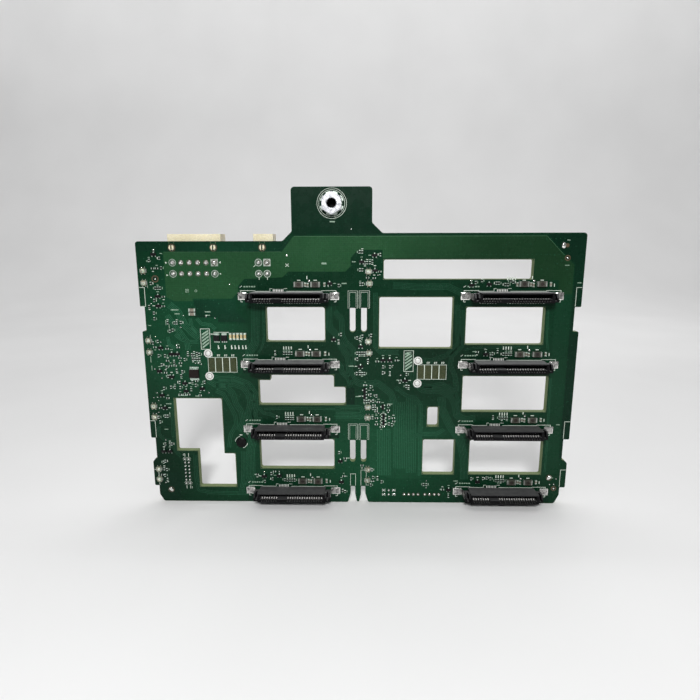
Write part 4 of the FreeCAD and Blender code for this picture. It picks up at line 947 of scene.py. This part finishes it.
# drive sockets: pads of the clips, the fine and the main contacts
for xc in COL_X:
    for zc in ROW_Z:
        for s in (1, -1):
            a, b = xc + s * 20.9, xc + s * 25.15
            pads.rect(a, zc - 1.8, b, zc + 1.8)
            joint.skirt(min(xc + s * 21.6, xc + s * 25.0), zc - 1.45, max(xc + s * 21.6, xc + s * 25.0), zc + 1.45,
                        0.42, 0.05, 0.27, top=0.01)
        for k in range(7):
            u = xc - 5.08 + 0.8 * (k - 3)
            pads.rect(u - 0.24, zc + 2.62, u + 0.24, zc + 3.62)
        for k in list(range(7)) + list(range(100, 115)):
            u = xc + (-15.7 + 1.27 * k if k < 50 else -2.08 + 1.27 * (k - 100))
            pads.rect(u - 0.36, zc - 3.75, u + 0.36, zc - 2.5)
            joint.skirt(u - 0.25, zc - 3.4, u + 0.25, zc - 2.55, 0.1, 0.05, 0.22, top=0.01)

# power header pins
for xs in (PH12_COLS, PH4_COLS):
    for i, x in enumerate(xs):
        for j, z in enumerate(PH_ROWS_Z):
            last = i == len(xs) - 1
            big = (i == 0 or last) or len(xs) == 2
            if last and j == 0:
                pads.rect(x - 1.78, z - 1.78, x + 1.78, z + 1.78)
                flux.circle(x, z, 1.42, 0.2, n=28, h1=0.066)
                joint.lathe(x, z, [(1.28, 0.0), (1.28, 0.10), (1.02, 0.34), (0.74, 0.72), (0.62, 0.98), (0.40, 1.06)], 22)
            elif big:
                pads.circle(x, z, 1.68, 0.34, n=36)
                joint.lathe(x, z, [(1.24, 0.0), (1.24, 0.10), (1.0, 0.32), (0.74, 0.70), (0.60, 0.95), (0.40, 1.04)], 22)
            else:
                joint.lathe(x, z, [(1.30, 0.0), (1.30, 0.10), (1.05, 0.36), (0.76, 0.74), (0.62, 0.98), (0.40, 1.06)], 22)
                flux.circle(x, z, 1.33, 0.12, n=28)
for x in (-96.0, -69.2):
    joint.lathe(x, 128.5 if x > -80 else 128.4, [(0.3, 0.0), (0.3, 0.05), (0.16, 0.09)], 12)
silkf.prism([(-96.6, 128.0), (-95.6, 128.5), (-96.6, 129.0)])
silkf.prism([(-96.4, 121.9), (-95.4, 122.3), (-96.4, 122.8)])
silkf.prism([(-69.9, 128.6), (-68.9, 129.1), (-68.9, 128.1)])
silkf.prism([(-69.9, 123.0), (-69.0, 123.4), (-69.0, 122.6)])
silkf.line([(-52.6, 126.4), (-51.6, 127.3)], 0.28)
silkf.bar(-50.0, 120.6, 0.3, 1.2)
silkf.bar(-45.9, 120.6, 0.3, 1.2)
# split pegs: flux-stained rings and tracks of the pull-back above them
for x in PEGS:
    flux.circle(x, 135.8, 1.72, 0.36, n=30)
    strip.line([(x - 1.2, 137.8), (x - 1.2, 138.7)], 0.22)
    strip.line([(x + 1.2, 137.8), (x + 1.2, 138.7)], 0.22)

# mounting nut: tinned land with dark windows, two printed rings
pads.circle(NUT[0], NUT[1], 4.6, 2.4, n=72)
flat_win = Flat("nut_land_windows", mask_dark, "board_laminate", 0.0, 0.085)
for a, r, wr, wt in ((0, 5.42, 1.05, 2.7), (180, 5.42, 1.05, 2.7), (50, 5.5, 0.95, 2.0), (130, 5.5, 0.95, 2.0),
                     (229, 5.5, 0.95, 2.5), (311, 5.5, 0.95, 2.5), (90, 5.62, 0.45, 1.5), (270, 5.66, 0.42, 2.0)):
    c, s = math.cos(math.radians(a)), math.sin(math.radians(a))
    cx, cz = NUT[0] + r * c, NUT[1] + r * s
    flat_win.prism([(cx + u * c - v * s, cz + u * s + v * c) for u, v in
                    ((-wr / 2, -wt / 2 * 0.82), (wr / 2, -wt / 2), (wr / 2, wt / 2), (-wr / 2, wt / 2 * 0.82))])
silkf.circle(NUT[0], NUT[1], 6.3, 0.18, n=72)
silkf.circle(NUT[0], NUT[1], 7.15, 0.18, n=80)
pads.circle(NUT[0], NUT[1], 4.8, 0.42, n=72, h1=0.22)

# soldered pegs of the two data receptacles
for x, z in DATA_PEGS:
    discs.lathe(x, z, [(2.15, 0.0), (2.15, 0.07), (1.55, 0.09)], 40)
    flux.circle(x, z, 1.44, 0.22, n=36, h1=0.105)
    discs.lathe(x, z, [(1.3, 0.0), (1.3, 0.14), (1.12, 0.26), (0.9, 0.38), (0.6, 0.44)], 30)

# service header pins
for i, x in enumerate(SH_COLS):
    for j, z in enumerate(SH_ROWS):
        joint.lathe(x, z, [(0.56, 0.0), (0.56, 0.08), (0.44, 0.26), (0.34, 0.48), (0.2, 0.56)], 14)
        if j in (0, 7):
            for a in range(0, 360, 45):
                c, s = math.cos(math.radians(a)), math.sin(math.radians(a))
                silkf.line([(x + 0.72 * c, z + 0.72 * s), (x + 1.12 * c, z + 1.12 * s)], 0.2)
for x in SH_COLS:
    silkf.bar(x, 26.7, 0.26, 1.8)
    silkf.bar(x, 8.2, 0.26, 1.8)
silkf.bar(-94.3, 26.9, 0.2, 1.2)
silkf.bar(-90.7, 8.0, 0.2, 1.2)

# ------------------------------------------------------------------ front: printing
for xc in COL_X:
    for zc in ROW_Z:
        silkf.line([(xc - 24.0, zc - 2.9), (xc - 24.0, zc + 2.75), (xc - 16.6, zc + 2.75)], 0.24)
        silkf.line([(xc - 24.0, zc - 2.9), (xc - 23.0, zc - 2.9)], 0.24)
        silkf.line([(xc + 16.7, zc + 2.75), (xc + 23.9, zc + 2.75), (xc + 23.9, zc - 2.9), (xc + 22.9, zc - 2.9)], 0.24)
        silkf.line([(xc - 16.6, zc + 2.75), (xc - 16.6, zc + 2.42), (xc - 9.2, zc + 2.42)], 0.2)
        silkf.line([(xc - 1.0, zc + 2.42), (xc + 16.7, zc + 2.42), (xc + 16.7, zc + 2.75)], 0.22)
        silkf.line([(xc - 9.2, zc + 2.5), (xc - 9.2, zc + 3.75), (xc - 8.0, zc + 3.75)], 0.22)
        silkf.line([(xc - 2.2, zc + 3.75), (xc - 0.5, zc + 3.75)], 0.22)
        silkf.line([(xc - 24.3, zc + 4.35), (xc - 23.2, zc + 5.15)], 0.24)
        for k in range(5):
            marks.bar(xc - 21.9 + 1.25 * k, zc + 4.75, 0.85, 0.62)
        silkf.bar(xc - 24.9, zc - 1.0, 0.2, 2.0)

# four-cell outlines by the soldered pegs, their texture of fine pads inside
olive_mask = mask_tree(Mat("mask_over_fine_pads"), (0.0300, 0.0360, 0.0105), areas=None)
olive = Flat("front_pad_field_ground", olive_mask, "board_laminate", -0.02, 0.048)
fine_pads = Mat("fine_pad_weave")
fine_pads.color(fine_pads.ramp(fine_pads.noise(1100, 3, 0.65), [(0.32, (0.018, 0.038, 0.015)), (0.68, (0.075, 0.082, 0.040))]))
fine_pads.rough(0.55)
fine_pads.bump(fine_pads.noise(1500, 2), 0.2, 0.00003)
weave_pad = Flat("front_fine_pad_fields", fine_pads, None, -0.02, 0.056)
for x0, x1, z0, z1, divs in ((-78.0, -63.2, 72.5, 80.3, (-74.3, -70.6, -66.9)), (29.8, 44.6, 69.0, 76.6, (33.4, 37.15, 40.9))):
    silkf.frame(x0, z0, x1, z1, 0.2)
    olive.rect(x0 + 0.2, z0 + 0.2, x1 - 0.2, z1 - 0.2)
    for d in divs:
        silkf.bar(d, (z0 + z1) / 2, 0.42, z1 - z0)
    edges = [x0] + list(divs) + [x1]
    for a, b in zip(edges, edges[1:]):
        u = a + 0.62
        row = 0
        while u < b - 0.5:
            v = z0 + 0.5 + (0.3 if row % 2 else 0.0)
            while v < z1 - 0.35:
                weave_pad.disc(u, v, 0.19, n=8)
                v += 0.6
            u += 0.45
            row += 1
        m = (a + b) / 2
        silkf.bar(m - 0.55, z1 + 1.05, 0.36, 1.05)
        silkf.bar(m + 0.35, z1 + 1.35, 0.85, 0.34)
        silkf.bar(m + 0.3, z1 + 0.75, 0.6, 0.3)

# hatched boxes
for x0, x1, z0, z1 in ((-81.1, -76.4, 84.6, 95.2), (22.8, 27.6, 73.1, 84.0)):
    silkf.frame(x0, z0, x1, z1, 0.24)
    w = x1 - x0
    z = z0 + 0.3
    k = 0
    while z + 1.4 < z1 - 0.4:
        b0, b1 = z, min(z + 0.95, z1 - 0.4)
        rise = min(2.6, z1 - 0.45 - b1)
        if rise > 0.5:
            marks.prism([(x0 + 0.6, b0), (x1 - 0.6, b0 + rise), (x1 - 0.6, b1 + rise), (x0 + 0.6, b1)])
        z += 1.7
        k += 1

# ticks over the left outline, and the line over the two regulators
for x in (-72.3, -68.9, -65.5, -63.7, -61.8, -59.8, -58.2):
    silkf.bar(x, 85.7, 0.5, 2.0)
    silkf.bar(x + 0.45, 85.2, 0.22, 0.8)
silkf.line([(-75.4, 92.5), (-74.2, 92.5)], 0.4)
silkf.line([(-74.4, 93.4), (-66.6, 93.4)], 0.26)
silkf.prism([(-75.9, 92.0), (-75.0, 92.5), (-75.9, 93.0)])

# side hooks
silkf.line([(-110.7, 116.2), (-108.1, 116.2), (-108.1, 106.7), (-110.6, 106.7)], 0.22)
silkf.line([(-110.7, 45.9), (-108.1, 45.9), (-108.1, 36.6)], 0.22)
silkf.line([(-110.7, 18.2), (-108.3, 18.2), (-108.3, 9.3)], 0.22)
silkf.line([(110.2, 116.1), (107.5, 116.1), (107.5, 106.7)], 0.22)
silkf.line([(110.1, 46.3), (107.2, 46.3), (107.2, 36.7)], 0.22)
silkf.line([(109.9, 19.3), (107.2, 19.3), (107.2, 9.6)], 0.22)

# outlines over the bay guide slots
fill = Flat("front_slot_fills", mask_soft, "board_laminate", -0.02, 0.024)
for zt, zb in ((114.5, 105.8), (44.6, 36.0)):
    for x0, x1 in ((-5.75, -0.95), (-0.15, 5.05)):
        silkf.line([(x0, zb), (x0, zt), (x1, zt), (x1, zb)], 0.15)
        silkf.line([(x0 + 0.76, zb + 0.4), (x0 + 0.76, zt - 0.8), (x1 - 0.76, zt - 0.8), (x1 - 0.76, zb + 0.4)], 0.13)
        silkf.line([(x0, zb), (x0 + 0.8, zb)], 0.14)
        silkf.line([(x1, zb), (x1 - 0.8, zb)], 0.14)
        fill.rect(x0 + 0.95, zb + 0.5, x1 - 0.95, zt - 1.0)
for x0, x1, z0, z1 in ((-4.66, -1.94, 9.5, 16.4), (0.93, 3.8, 9.5, 18.6)):
    silkf.line([(x0, z0), (x0, z1), (x1, z1), (x1, z0)], 0.2)

# fiducials, test points and solder spots at the corners
for x, z, r in ((-102.3, 120.5, 1.5), (101.9, 130.5, 1.15), (104.3, 8.6, 1.15)):
    flux.circle(x, z, r, 0.62, n=30)
    pour_d.disc(x, z, r - 0.2, h1=0.045)
    joint.lathe(x, z, [(0.42, 0.0), (0.42, 0.06), (0.26, 0.12)], 14)
for x, z, r, ax, rot, dx in ((99.6, 136.6, 1.0, 1.45, 0.0, 1.6), (101.4, 14.8, 0.95, 1.5, -0.7, 0.0), (-102.2, 6.7, 0.95, 1.4, 0.75, 0.0)):
    if dx:
        flux.disc(x + dx, z, 1.0, n=20)
    else:
        flux.circle(x, z, 1.5, 0.3, n=28)
    joint.lathe(x, z, [(r, 0.0), (r, 0.10), (r * 0.8, 0.28), (r * 0.45, 0.42), (r * 0.15, 0.46)], 20, ax=ax, rot=rot)

# bright dots: vias left open and test points
DOTS = [(-105.1, 111.3), (-105.4, 108.1), (-89.3, 102.1), (-77.7, 101.7), (-73.3, 100.7), (-91.2, 95.9), (-104.4, 91.2),
        (-101.9, 88.3), (-93.9, 86.6), (-65.0, 117.9), (-106.0, 74.1), (-102.7, 69.3), (-105.8, 61.3), (-105.8, 58.9),
        (-107.8, 58.7), (-105.3, 57.1), (-105.8, 50.6), (-78.5, 61.4), (-103.2, 35.2), (-104.9, 10.8), (-4.2, 144.5),
        (-85.8, 78.1), (-84.7, 77.2), (-83.2, 77.2), (-81.7, 76.6), (55.4, 119.4), (17.2, 76.4), (21.3, 71.1), (7.1, 63.2),
        (7.7, 60.5), (10.1, 50.6), (15.1, 51.1), (13.1, 43.1), (9.1, 122.3), (4.4, 77.1), (-102.0, 134.3), (-51.2, 17.2),
        (-43.1, 17.4), (63.8, 84.9), (63.3, 14.7), (36.1, 12.6), (36.1, 8.6), (4.8, 10.0), (102.0, 11.0), (104.2, 11.0),
        (105.2, 14.2), (-36.0, 131.9)]
for x, z in DOTS:
    r = 0.26 if (x, z) != (-36.0, 131.9) else 0.45
    vias.lathe(x, z, [(r, -0.02), (r, 0.06), (r * 0.6, 0.12)], 14)
for zc in ROW_Z:
    for x in (-25.5, 86.0):
        vias.lathe(x + 0.35, zc + 7.55, [(0.5, -0.02), (0.5, 0.06), (0.3, 0.16)], 14)
silkf.line([(-36.7, 126.5), (-35.1, 127.9)], 0.26)
silkf.line([(-36.7, 127.9), (-35.1, 126.5)], 0.26)
# rings round two test points in the centre
for x, z in ((12.6, 48.9), (12.6, 45.4)):
    silkf.circle(x, z, 1.75, 0.22, n=30, a0=20, a1=160)
    silkf.circle(x, z, 1.75, 0.22, n=30, a0=200, a1=340)

# dots along the bottom edge and the 2 x 3 pads
for x in (24.3, 26.8, 29.3, 31.8, 35.5, 38.0, 40.6, 43.0):
    joint.lathe(x, 4.7, [(0.66, 0.0), (0.66, 0.08), (0.5, 0.3), (0.25, 0.46)], 18)
    flux.circle(x, 4.7, 0.78, 0.16, n=20)
for z in (7.0, 4.6):
    for x, s in ((13.3, 1), (18.7, -1)):
        pads.rect(x - 0.9, z - 0.75, x - 0.35, z + 0.75)
        pads.rect(x + 0.35, z - 0.75, x + 0.9, z + 0.75)
        pads.rect(x - 0.5, z - 0.22, x + 0.5, z + 0.22, h1=0.058)
        joint.lathe(x, z, [(0.4, 0.0), (0.4, 0.07), (0.2, 0.2)], 12)
    joint.lathe(16.0, z, [(0.62, 0.0), (0.62, 0.08), (0.45, 0.28), (0.2, 0.38)], 16)

# arcs round the hole plug
silkf.circle(-62.7, 34.15, 3.25, 0.24, n=20, a0=100, a1=175)
silkf.circle(-62.7, 34.15, 3.25, 0.24, n=20, a0=285, a1=350)
silkf.bar(-62.8, 38.2, 1.4, 0.5)

# plain printed bars, where small markings stood
BARS = [  # x, z, width, height
    (-104.9, 129.3, 2.4, 0.36), (-98.4, 133.0, 1.2, 0.3), 
    (-93.5, 104.9, 4.0, 0.5), (-92.4, 102.9, 2.6, 0.42), (-76.8, 103.9, 2.8, 0.5), (-76.9, 102.2, 2.4, 0.42),
    (-98.5, 98.4, 0.3, 2.6), (-96.9, 96.4, 0.3, 2.0),
    (-107.7, 79.2, 0.3, 3.2), (-107.5, 74.6, 0.3, 2.4), (-106.4, 116.6, 0.3, 1.4), (-106.9, 96.9, 1.5, 0.3),
    (-13.3, 148.1, 2.6, 0.55), (-17.6, 128.0, 2.4, 0.9), (-7.7, 118.2, 2.4, 0.5), (-2.8, 128.8, 1.9, 0.36),
    (-4.2, 75.9, 2.6, 0.5), (-0.9, 59.6, 2.2, 0.42), (15.9, 55.6, 2.6, 0.42), (9.2, 78.3, 2.2, 0.42), (19.4, 78.9, 2.2, 0.42),
    (20.2, 68.5, 2.2, 0.42), (3.1, 65.8, 2.3, 0.42), (101.9, 127.0, 2.1, 0.34), (101.7, 139.1, 1.6, 0.34),
    (108.6, 118.4, 2.0, 0.4), (103.8, 44.6, 1.9, 0.34), (51.8, 12.6, 2.3, 0.4), (58.9, 83.6, 2.6, 0.38), 
    (-55.3, 15.8, 2.4, 0.36), (-6.2, 25.4, 2.4, 0.4), (-7.6, 15.0, 2.4, 0.34), (44.6, 7.7, 2.4, 0.38),
    (58.6, 120.9, 2.2, 0.4), (-102.4, 41.2, 2.0, 0.3), (-100.2, 55.3, 2.8, 0.36),
    (-92.3, 59.9, 5.0, 0.5), (-84.6, 59.6, 2.4, 0.4), (-107.0, 91.0, 0.3, 2.2), (-100.0, 49.6, 0.3, 2.0), 
    (102.7, 14.7, 1.7, 0.32)]
for x, z, w, l in BARS:
    if on_board(x, z, 0.2):
        marks.bar(x, z, w, l)
marks.frame(-87.3, 113.8, -85.9, 115.3, 0.2)
marks.bar(-86.6, 114.5, 0.5, 0.6)
marks.line([(-82.7, 114.5), (-82.1, 115.1), (-81.5, 114.5), (-82.1, 113.9)], 0.2, closed=True)
for zc in ROW_Z:
    for k in range(4):
        silkf.bar(-38.75 + 1.3 * k, zc + 8.6, 0.5, 1.5) if zc < 110 else None
        silkf.bar(73.15 + 1.3 * k, zc + 8.7, 0.5, 1.6)
    for xb, zb in ((-30.3, 7.9), (-22.1, 7.9), (81.4, 7.9), (90.2, 7.9)):
        silkf.bar(xb, zc + zb, 1.7, 0.42)
    for xb in (-26.2, 85.3):
        silkf.bar(xb, zc + 9.2, 0.42, 1.5)
    for xb in (-15.6, 96.4):
        silkf.bar(xb, zc + 5.4, 0.4, 1.5)

# small printed bars beside the chips, wherever there is room
for n in ("resistor_bodies", "transistor_bodies"):
    for i, (x0, x1, z0, z1, h) in enumerate(boxes[n]):
        cx, cz = (x0 + x1) / 2, (z0 + z1) / 2
        tall = (z1 - z0) > (x1 - x0)
        tries = [(cx + 1.05, cz, 0.32, 1.15), (cx - 1.05, cz, 0.32, 1.15), (cx, cz + 1.5, 0.95, 0.32), (cx, cz - 1.5, 0.95, 0.32)]
        if n == "transistor_bodies":
            tries = [(cx + 2.4, cz, 1.3, 0.34), (cx - 2.4, cz, 1.3, 0.34), (cx, cz + 2.3, 1.2, 0.34)]
        if not tall:
            tries = tries[2:] + tries[:2]
        rnd.shuffle(tries) if i % 3 == 0 else None
        for bx_, bz_, bw, bl in tries:
            if rnd.random() < 0.25:
                continue
            if clear(bx_ - bw / 2, bx_ + bw / 2, bz_ - bl / 2, bz_ + bl / 2, 0.22) and on_board(bx_, bz_, 0.7):
                (silkf if i % 3 == 0 else marks).bar(bx_, bz_, bw, bl)
                busy.append((bx_ - bw / 2, bx_ + bw / 2, bz_ - bl / 2, bz_ + bl / 2, 0.1))
                break

# tented vias scattered over the signal areas
k = 0
while k < 900:
    x = rnd.uniform(-109, 108)
    z = rnd.uniform(2, 140)
    k += 1
    if on_board(x, z, 1.0) and clear(x - 0.4, x + 0.4, z - 0.4, z + 0.4, 0.1):
        tented.lathe(x, z, [(0.27, -0.02), (0.27, 0.045), (0.17, 0.062)], 8)
# stitching rows in the wide pour
for z in (139.9, 132.2, 126.0):
    for i in range(60):
        x = -30 + i * 2.2
        if on_board(x, z, 0.9) and z > 131 or (x < -8 and z > 125):
            if on_board(x, z, 0.9):
                tented.lathe(x, z, [(0.22, -0.02), (0.22, 0.045), (0.14, 0.058)], 8)

# pull-back strips round the openings
for name, pts in OPEN.items():
    strip.line(grown(pts, 0.16), 0.26, closed=True)
# painted glint: thin bright line along the pour edge under the top edge
glint = Flat("front_pour_edge_painted_glint", mask_glint, "board_laminate", -0.02, 0.05)
glint.line([(-32.2, 141.15), (20.0, 141.15), (60.0, 141.15)], 0.2)
glint.line([(60.0, 141.15), (91.0, 141.15), (100.2, 131.9)], 0.14)
glint.line([(-96.9, 133.7), (-38.9, 133.7)], 0.12)

for L in (pour_l, pour_d, pour_s, track_l, track_r, fill, glint, strip):
    L.build()
for L in (pads, silkf, marks, flat_win, olive, weave_pad):
    L.build()
discs.build(smooth=True)
flux.build()
vias.build(smooth=True)
tented.build(smooth=True)
joint.build(smooth=True)

# ------------------------------------------------------------------ rear face
r_pour = Flat("rear_copper_pour", mask_light, "board_laminate", -0.02, H_POUR, rear=True)
r_dark = Flat("rear_bare_zones", mask_dark, "board_laminate", -0.02, 0.012, rear=True)
r_track = Flat("rear_tracks", mask_track, "board_laminate", -0.02, H_TRACK, rear=True)
r_silk = Flat("rear_printing", silk, None, -0.02, 0.075, rear=True)
r_pads = Flat("rear_tinned_pads", pad_tin, "solder_metal", -0.02, 0.055, rear=True)
r_strip = Flat("rear_laminate_strips", laminate, "board_laminate", -0.02, 0.034, rear=True)
r_via = Flat("rear_tented_vias", mask_track, "board_laminate", -0.02, 0.06, rear=True)

r_pour.prism([(-97.0, 128.6), (-97.0, 111.0), (-60.5, 111.0), (-57.5, 119.6), (-35.0, 119.6), (-35.0, 128.6)])
r_pour.prism([(-30.8, 141.1), (-30.8, 124.0), (-5.0, 124.0), (-1.0, 134.6), (88.0, 134.6), (98.0, 119.0), (105.4, 119.0),
              (105.4, 131.0), (95.0, 141.1)])
r_pour.prism([(98.4, 112.6), (105.4, 112.6), (105.4, 16.9), (98.4, 16.9)])
tab_zone(r_dark, 142.4)
for x0, x1, z0, z1 in ((-60.0, -11.0, 107.2, 119.0), (52.0, 97.0, 107.2, 119.0), (-60.0, -14.0, 72.0, 84.5), (52.0, 97.0, 71.6, 84.5),
                       (-60.0, -14.0, 37.0, 51.0), (52.0, 97.0, 37.0, 50.5), (-60.0, -14.0, 2.0, 17.4), (52.0, 97.0, 2.0, 15.6)):
    r_dark.rect(x0, z0, x1, z1)
RB = [
    ([(-70.5, 84.5), (-66.0, 92.0), (-60.0, 98.0), (-54.0, 104.0), (-52.4, 109.0), (-46.0, 114.0), (-20.0, 114.4)], 8, 0.7),
    ([(-64.0, 86.0), (-58.5, 90.0), (-54.6, 88.0), (-53.6, 80.0), (-40.0, 79.6), (-18.0, 79.6)], 6, 0.7),
    ([(-66.0, 68.0), (-60.0, 62.0), (-57.0, 52.0), (-48.0, 47.6), (-20.0, 47.2)], 6, 0.7),
    ([(-72.6, 66.0), (-66.6, 56.0), (-63.2, 40.0), (-60.4, 16.0), (-50.0, 11.0), (-20.0, 10.6)], 8, 0.75),
    ([(36.0, 81.5), (44.6, 83.0), (49.4, 90.0), (49.6, 108.0), (58.0, 114.0), (90.0, 114.0)], 7, 0.7),
    ([(42.0, 64.0), (49.0, 66.0), (53.0, 76.0), (62.0, 79.0), (92.0, 79.0)], 6, 0.7),
    ([(40.0, 60.0), (46.0, 56.0), (52.0, 47.6), (62.0, 45.8), (92.0, 45.6)], 6, 0.7),
    ([(32.0, 64.0), (28.6, 54.0), (29.6, 18.0), (34.0, 12.0), (58.0, 10.4), (90.0, 10.2)], 8, 0.75),
    ([(26.0, 66.0), (10.0, 66.0), (-2.0, 62.0), (-3.6, 50.0), (-10.0, 42.0)], 6, 0.7),
    ([(-100.0, 100.0), (-100.0, 60.0), (-100.2, 30.0)], 6, 0.7),
]
for pts, n, pitch in RB:
    bundle(r_track, dense(pts), n, pitch)
# printing round the parts that stand on the rear
r_silk.frame(-96.6, 121.0, -68.4, 138.4, 0.24)
r_silk.frame(-53.7, 121.0, -42.3, 138.4, 0.24)
for cx, cz in ((-70.55, 76.3), (37.25, 72.75)):
    r_silk.line([(cx - 9.8, cz - 7.2), (cx + 9.8, cz - 7.2), (cx + 9.8, cz + 7.2), (cx - 9.8, cz + 7.2)], 0.24, closed=True)
    r_silk.prism([(cx + 9.8, cz + 8.4), (cx + 8.8, cz + 9.6), (cx + 10.8, cz + 9.6)])
    for k in range(16):
        u = cx + 0.8 * (k - 7.5) * 0.98
        for s in (1, -1):
            za, zb = cz + s * 4.95, cz + s * 6.0
            r_pads.rect(u - 0.2, min(za, zb), u + 0.2, max(za, zb))
r_silk.frame(-95.9, 7.9, -89.2, 27.2, 0.24)
r_silk.prism([(-88.9, 26.6), (-88.0, 27.3), (-88.0, 25.9)])
r_silk.circle(NUT[0], NUT[1], 6.15, 0.26, n=72)
r_pads.circle(NUT[0], NUT[1], 4.5, 2.7, n=72)
for x, z in DATA_PEGS:
    r_pads.circle(x, z, 1.9, 0.7, n=32)
for x in PEGS:
    r_silk.circle(x, 135.8, 2.1, 0.2, n=30)
# solder dots, lands for test probes and plain bars on the rear
for i in range(420):
    x, z = rnd.uniform(-108, 106), rnd.uniform(2, 140)
    if on_board(x, z, 1.0) and not (-98 < x < -41 and z > 119) and not (-97 < x < -88 and z < 29):
        r_via.lathe(x, z, [(0.27, -0.02), (0.27, 0.045), (0.17, 0.062)], 8)
rearbusy = []
for i in range(150):
    x, z = round(rnd.uniform(-106, 104) / 2.5) * 2.5, round(rnd.uniform(3, 139) / 2.5) * 2.5
    if (not on_board(x, z, 1.6) or (x, z) in rearbusy or (-99 < x < -40 and z > 118) or (-98 < x < -87 and z < 30)
            or abs(x + 70.55) < 12 and abs(z - 76.3) < 9 or abs(x - 37.25) < 12 and abs(z - 72.75) < 9):
        continue
    rearbusy.append((x, z))
    r_pads.disc(x, z, 0.5, n=16)
    r_silk.bar(x + 1.3, z, 0.9, 0.32)
for xc in COL_X:
    for zc in ROW_Z:
        for k in range(6):
            x = xc - 14 + 5.4 * k
            z = zc + 4.6
            if on_board(x, z, 1.0):
                r_pads.rect(x - 0.95, z - 0.4, x - 0.35, z + 0.4)
                r_pads.rect(x + 0.35, z - 0.4, x + 0.95, z + 0.4)
                r_silk.frame(x - 1.25, z - 0.65, x + 1.25, z + 0.65, 0.14)
for name, pts in OPEN.items():
    r_strip.line(grown(pts, 0.16), 0.26, closed=True)
for L in (r_dark, r_pour, r_track, r_strip, r_pads, r_silk):
    L.build()
r_via.build(smooth=True)

# ------------------------------------------------------------------ stage, lights and camera
sc = bpy.context.scene
sc.view_settings.view_transform = "Standard"
sc.view_settings.look = "None"
sc.view_settings.exposure = 0.0
sc.view_settings.gamma = 1.0

fz = (0.0 + Z_OFF) / 1000.0 - 0.0002
prof = []
back, rise, rad = 1.15, 1.5, 0.45
prof.append((-1.6, fz))
prof.append((back - rad, fz))
for i in range(1, 25):
    a = math.pi / 2 * i / 24
    prof.append((back - rad + rad * math.sin(a), fz + rad - rad * math.cos(a)))
prof.append((back, fz + rise))
vs, fs = [], []
for y, z in prof:
    vs += [(-2.2, y, z), (2.2, y, z)]
for i in range(len(prof) - 1):
    fs.append((2 * i, 2 * i + 1, 2 * i + 3, 2 * i + 2))
me = bpy.data.meshes.new("pale_floor")
me.from_pydata(vs, [], fs)
for p in me.polygons:
    p.use_smooth = True
floor = bpy.data.objects.new("pale_floor", me)
sc.collection.objects.link(floor)
paper = Mat("pale_paper")
paper.color(paper.ramp(paper.noise(6, 2), [(0.3, (0.80, 0.80, 0.80)), (0.7, (0.84, 0.84, 0.84))]))
paper.rough(0.85)
paper.bump(paper.noise(400, 3), 0.05, 0.0002)
me.materials.append(paper.m)

world = bpy.data.worlds.new("studio_world")
sc.world = world
world.use_nodes = True
wt = world.node_tree
wt.nodes.clear()
wo = wt.nodes.new("ShaderNodeOutputWorld")
wb = wt.nodes.new("ShaderNodeBackground")
wc = wt.nodes.new("ShaderNodeTexCoord")
wsep = wt.nodes.new("ShaderNodeSeparateXYZ")
wr = wt.nodes.new("ShaderNodeMapRange")
wt.links.new(wc.outputs["Generated"], wsep.inputs[0])
wt.links.new(wsep.outputs["Y"], wr.inputs["Value"])
wr.inputs["From Min"].default_value = -0.7
wr.inputs["From Max"].default_value = 0.5
wr.inputs["To Min"].default_value = 0.11
wr.inputs["To Max"].default_value = 0.40
wt.links.new(wr.outputs[0], wb.inputs["Strength"])
wb.inputs["Color"].default_value = (1.0, 1.0, 1.0, 1.0)
wt.links.new(wb.outputs[0], wo.inputs[0])


def softbox(name, loc, target, w, h, power, color=(1, 1, 1)):
    l = bpy.data.lights.new(name, "AREA")
    l.shape = "RECTANGLE"
    l.size, l.size_y = w, h
    l.energy = power
    l.color = color
    o = bpy.data.objects.new(name, l)
    sc.collection.objects.link(o)
    o.location = loc
    d = Vector(target) - Vector(loc)
    o.rotation_mode = "QUATERNION"
    o.rotation_quaternion = d.to_track_quat("-Z", "Y")
    o.visible_camera = False
    return o


mid = (0.0135, 0.0, -0.085)
softbox("key_front", (0.0, -0.56, 0.24), mid, 0.12, 0.08, 3.35)
softbox("top_soft", (0.0, -0.05, 0.75), (0.0, 0.10, -0.15), 0.9, 0.7, 1.7)
softbox("back_wall", (0.0, 0.42, 1.10), (0.0, 1.15, 0.60), 3.4, 0.4, 13.5)
softbox("rear_fill", (0.35, 0.75, 0.35), mid, 0.5, 0.4, 0.7)

cam = bpy.data.cameras.new("camera")
cam.lens = 26.76
cam.sensor_width = 36.0
cam.sensor_fit = "HORIZONTAL"
cam.clip_start, cam.clip_end = 0.005, 20.0
co = bpy.data.objects.new("camera", cam)
sc.collection.objects.link(co)
yaw, pit, roll = math.radians(-1.057), math.radians(11.689), math.radians(-0.113)
fwd = Vector((math.sin(yaw) * math.cos(pit), math.cos(yaw) * math.cos(pit), -math.sin(pit)))
right = Vector((math.cos(yaw), -math.sin(yaw), 0.0))
upv = right.cross(fwd)
r2 = right * math.cos(roll) + upv * math.sin(roll)
u2 = -right * math.sin(roll) + upv * math.cos(roll)
m = Matrix((( r2.x, u2.x, -fwd.x, 0.0135), (r2.y, u2.y, -fwd.y, -0.26357), (r2.z, u2.z, -fwd.z, -0.0185), (0, 0, 0, 1)))
co.matrix_world = m
sc.camera = co
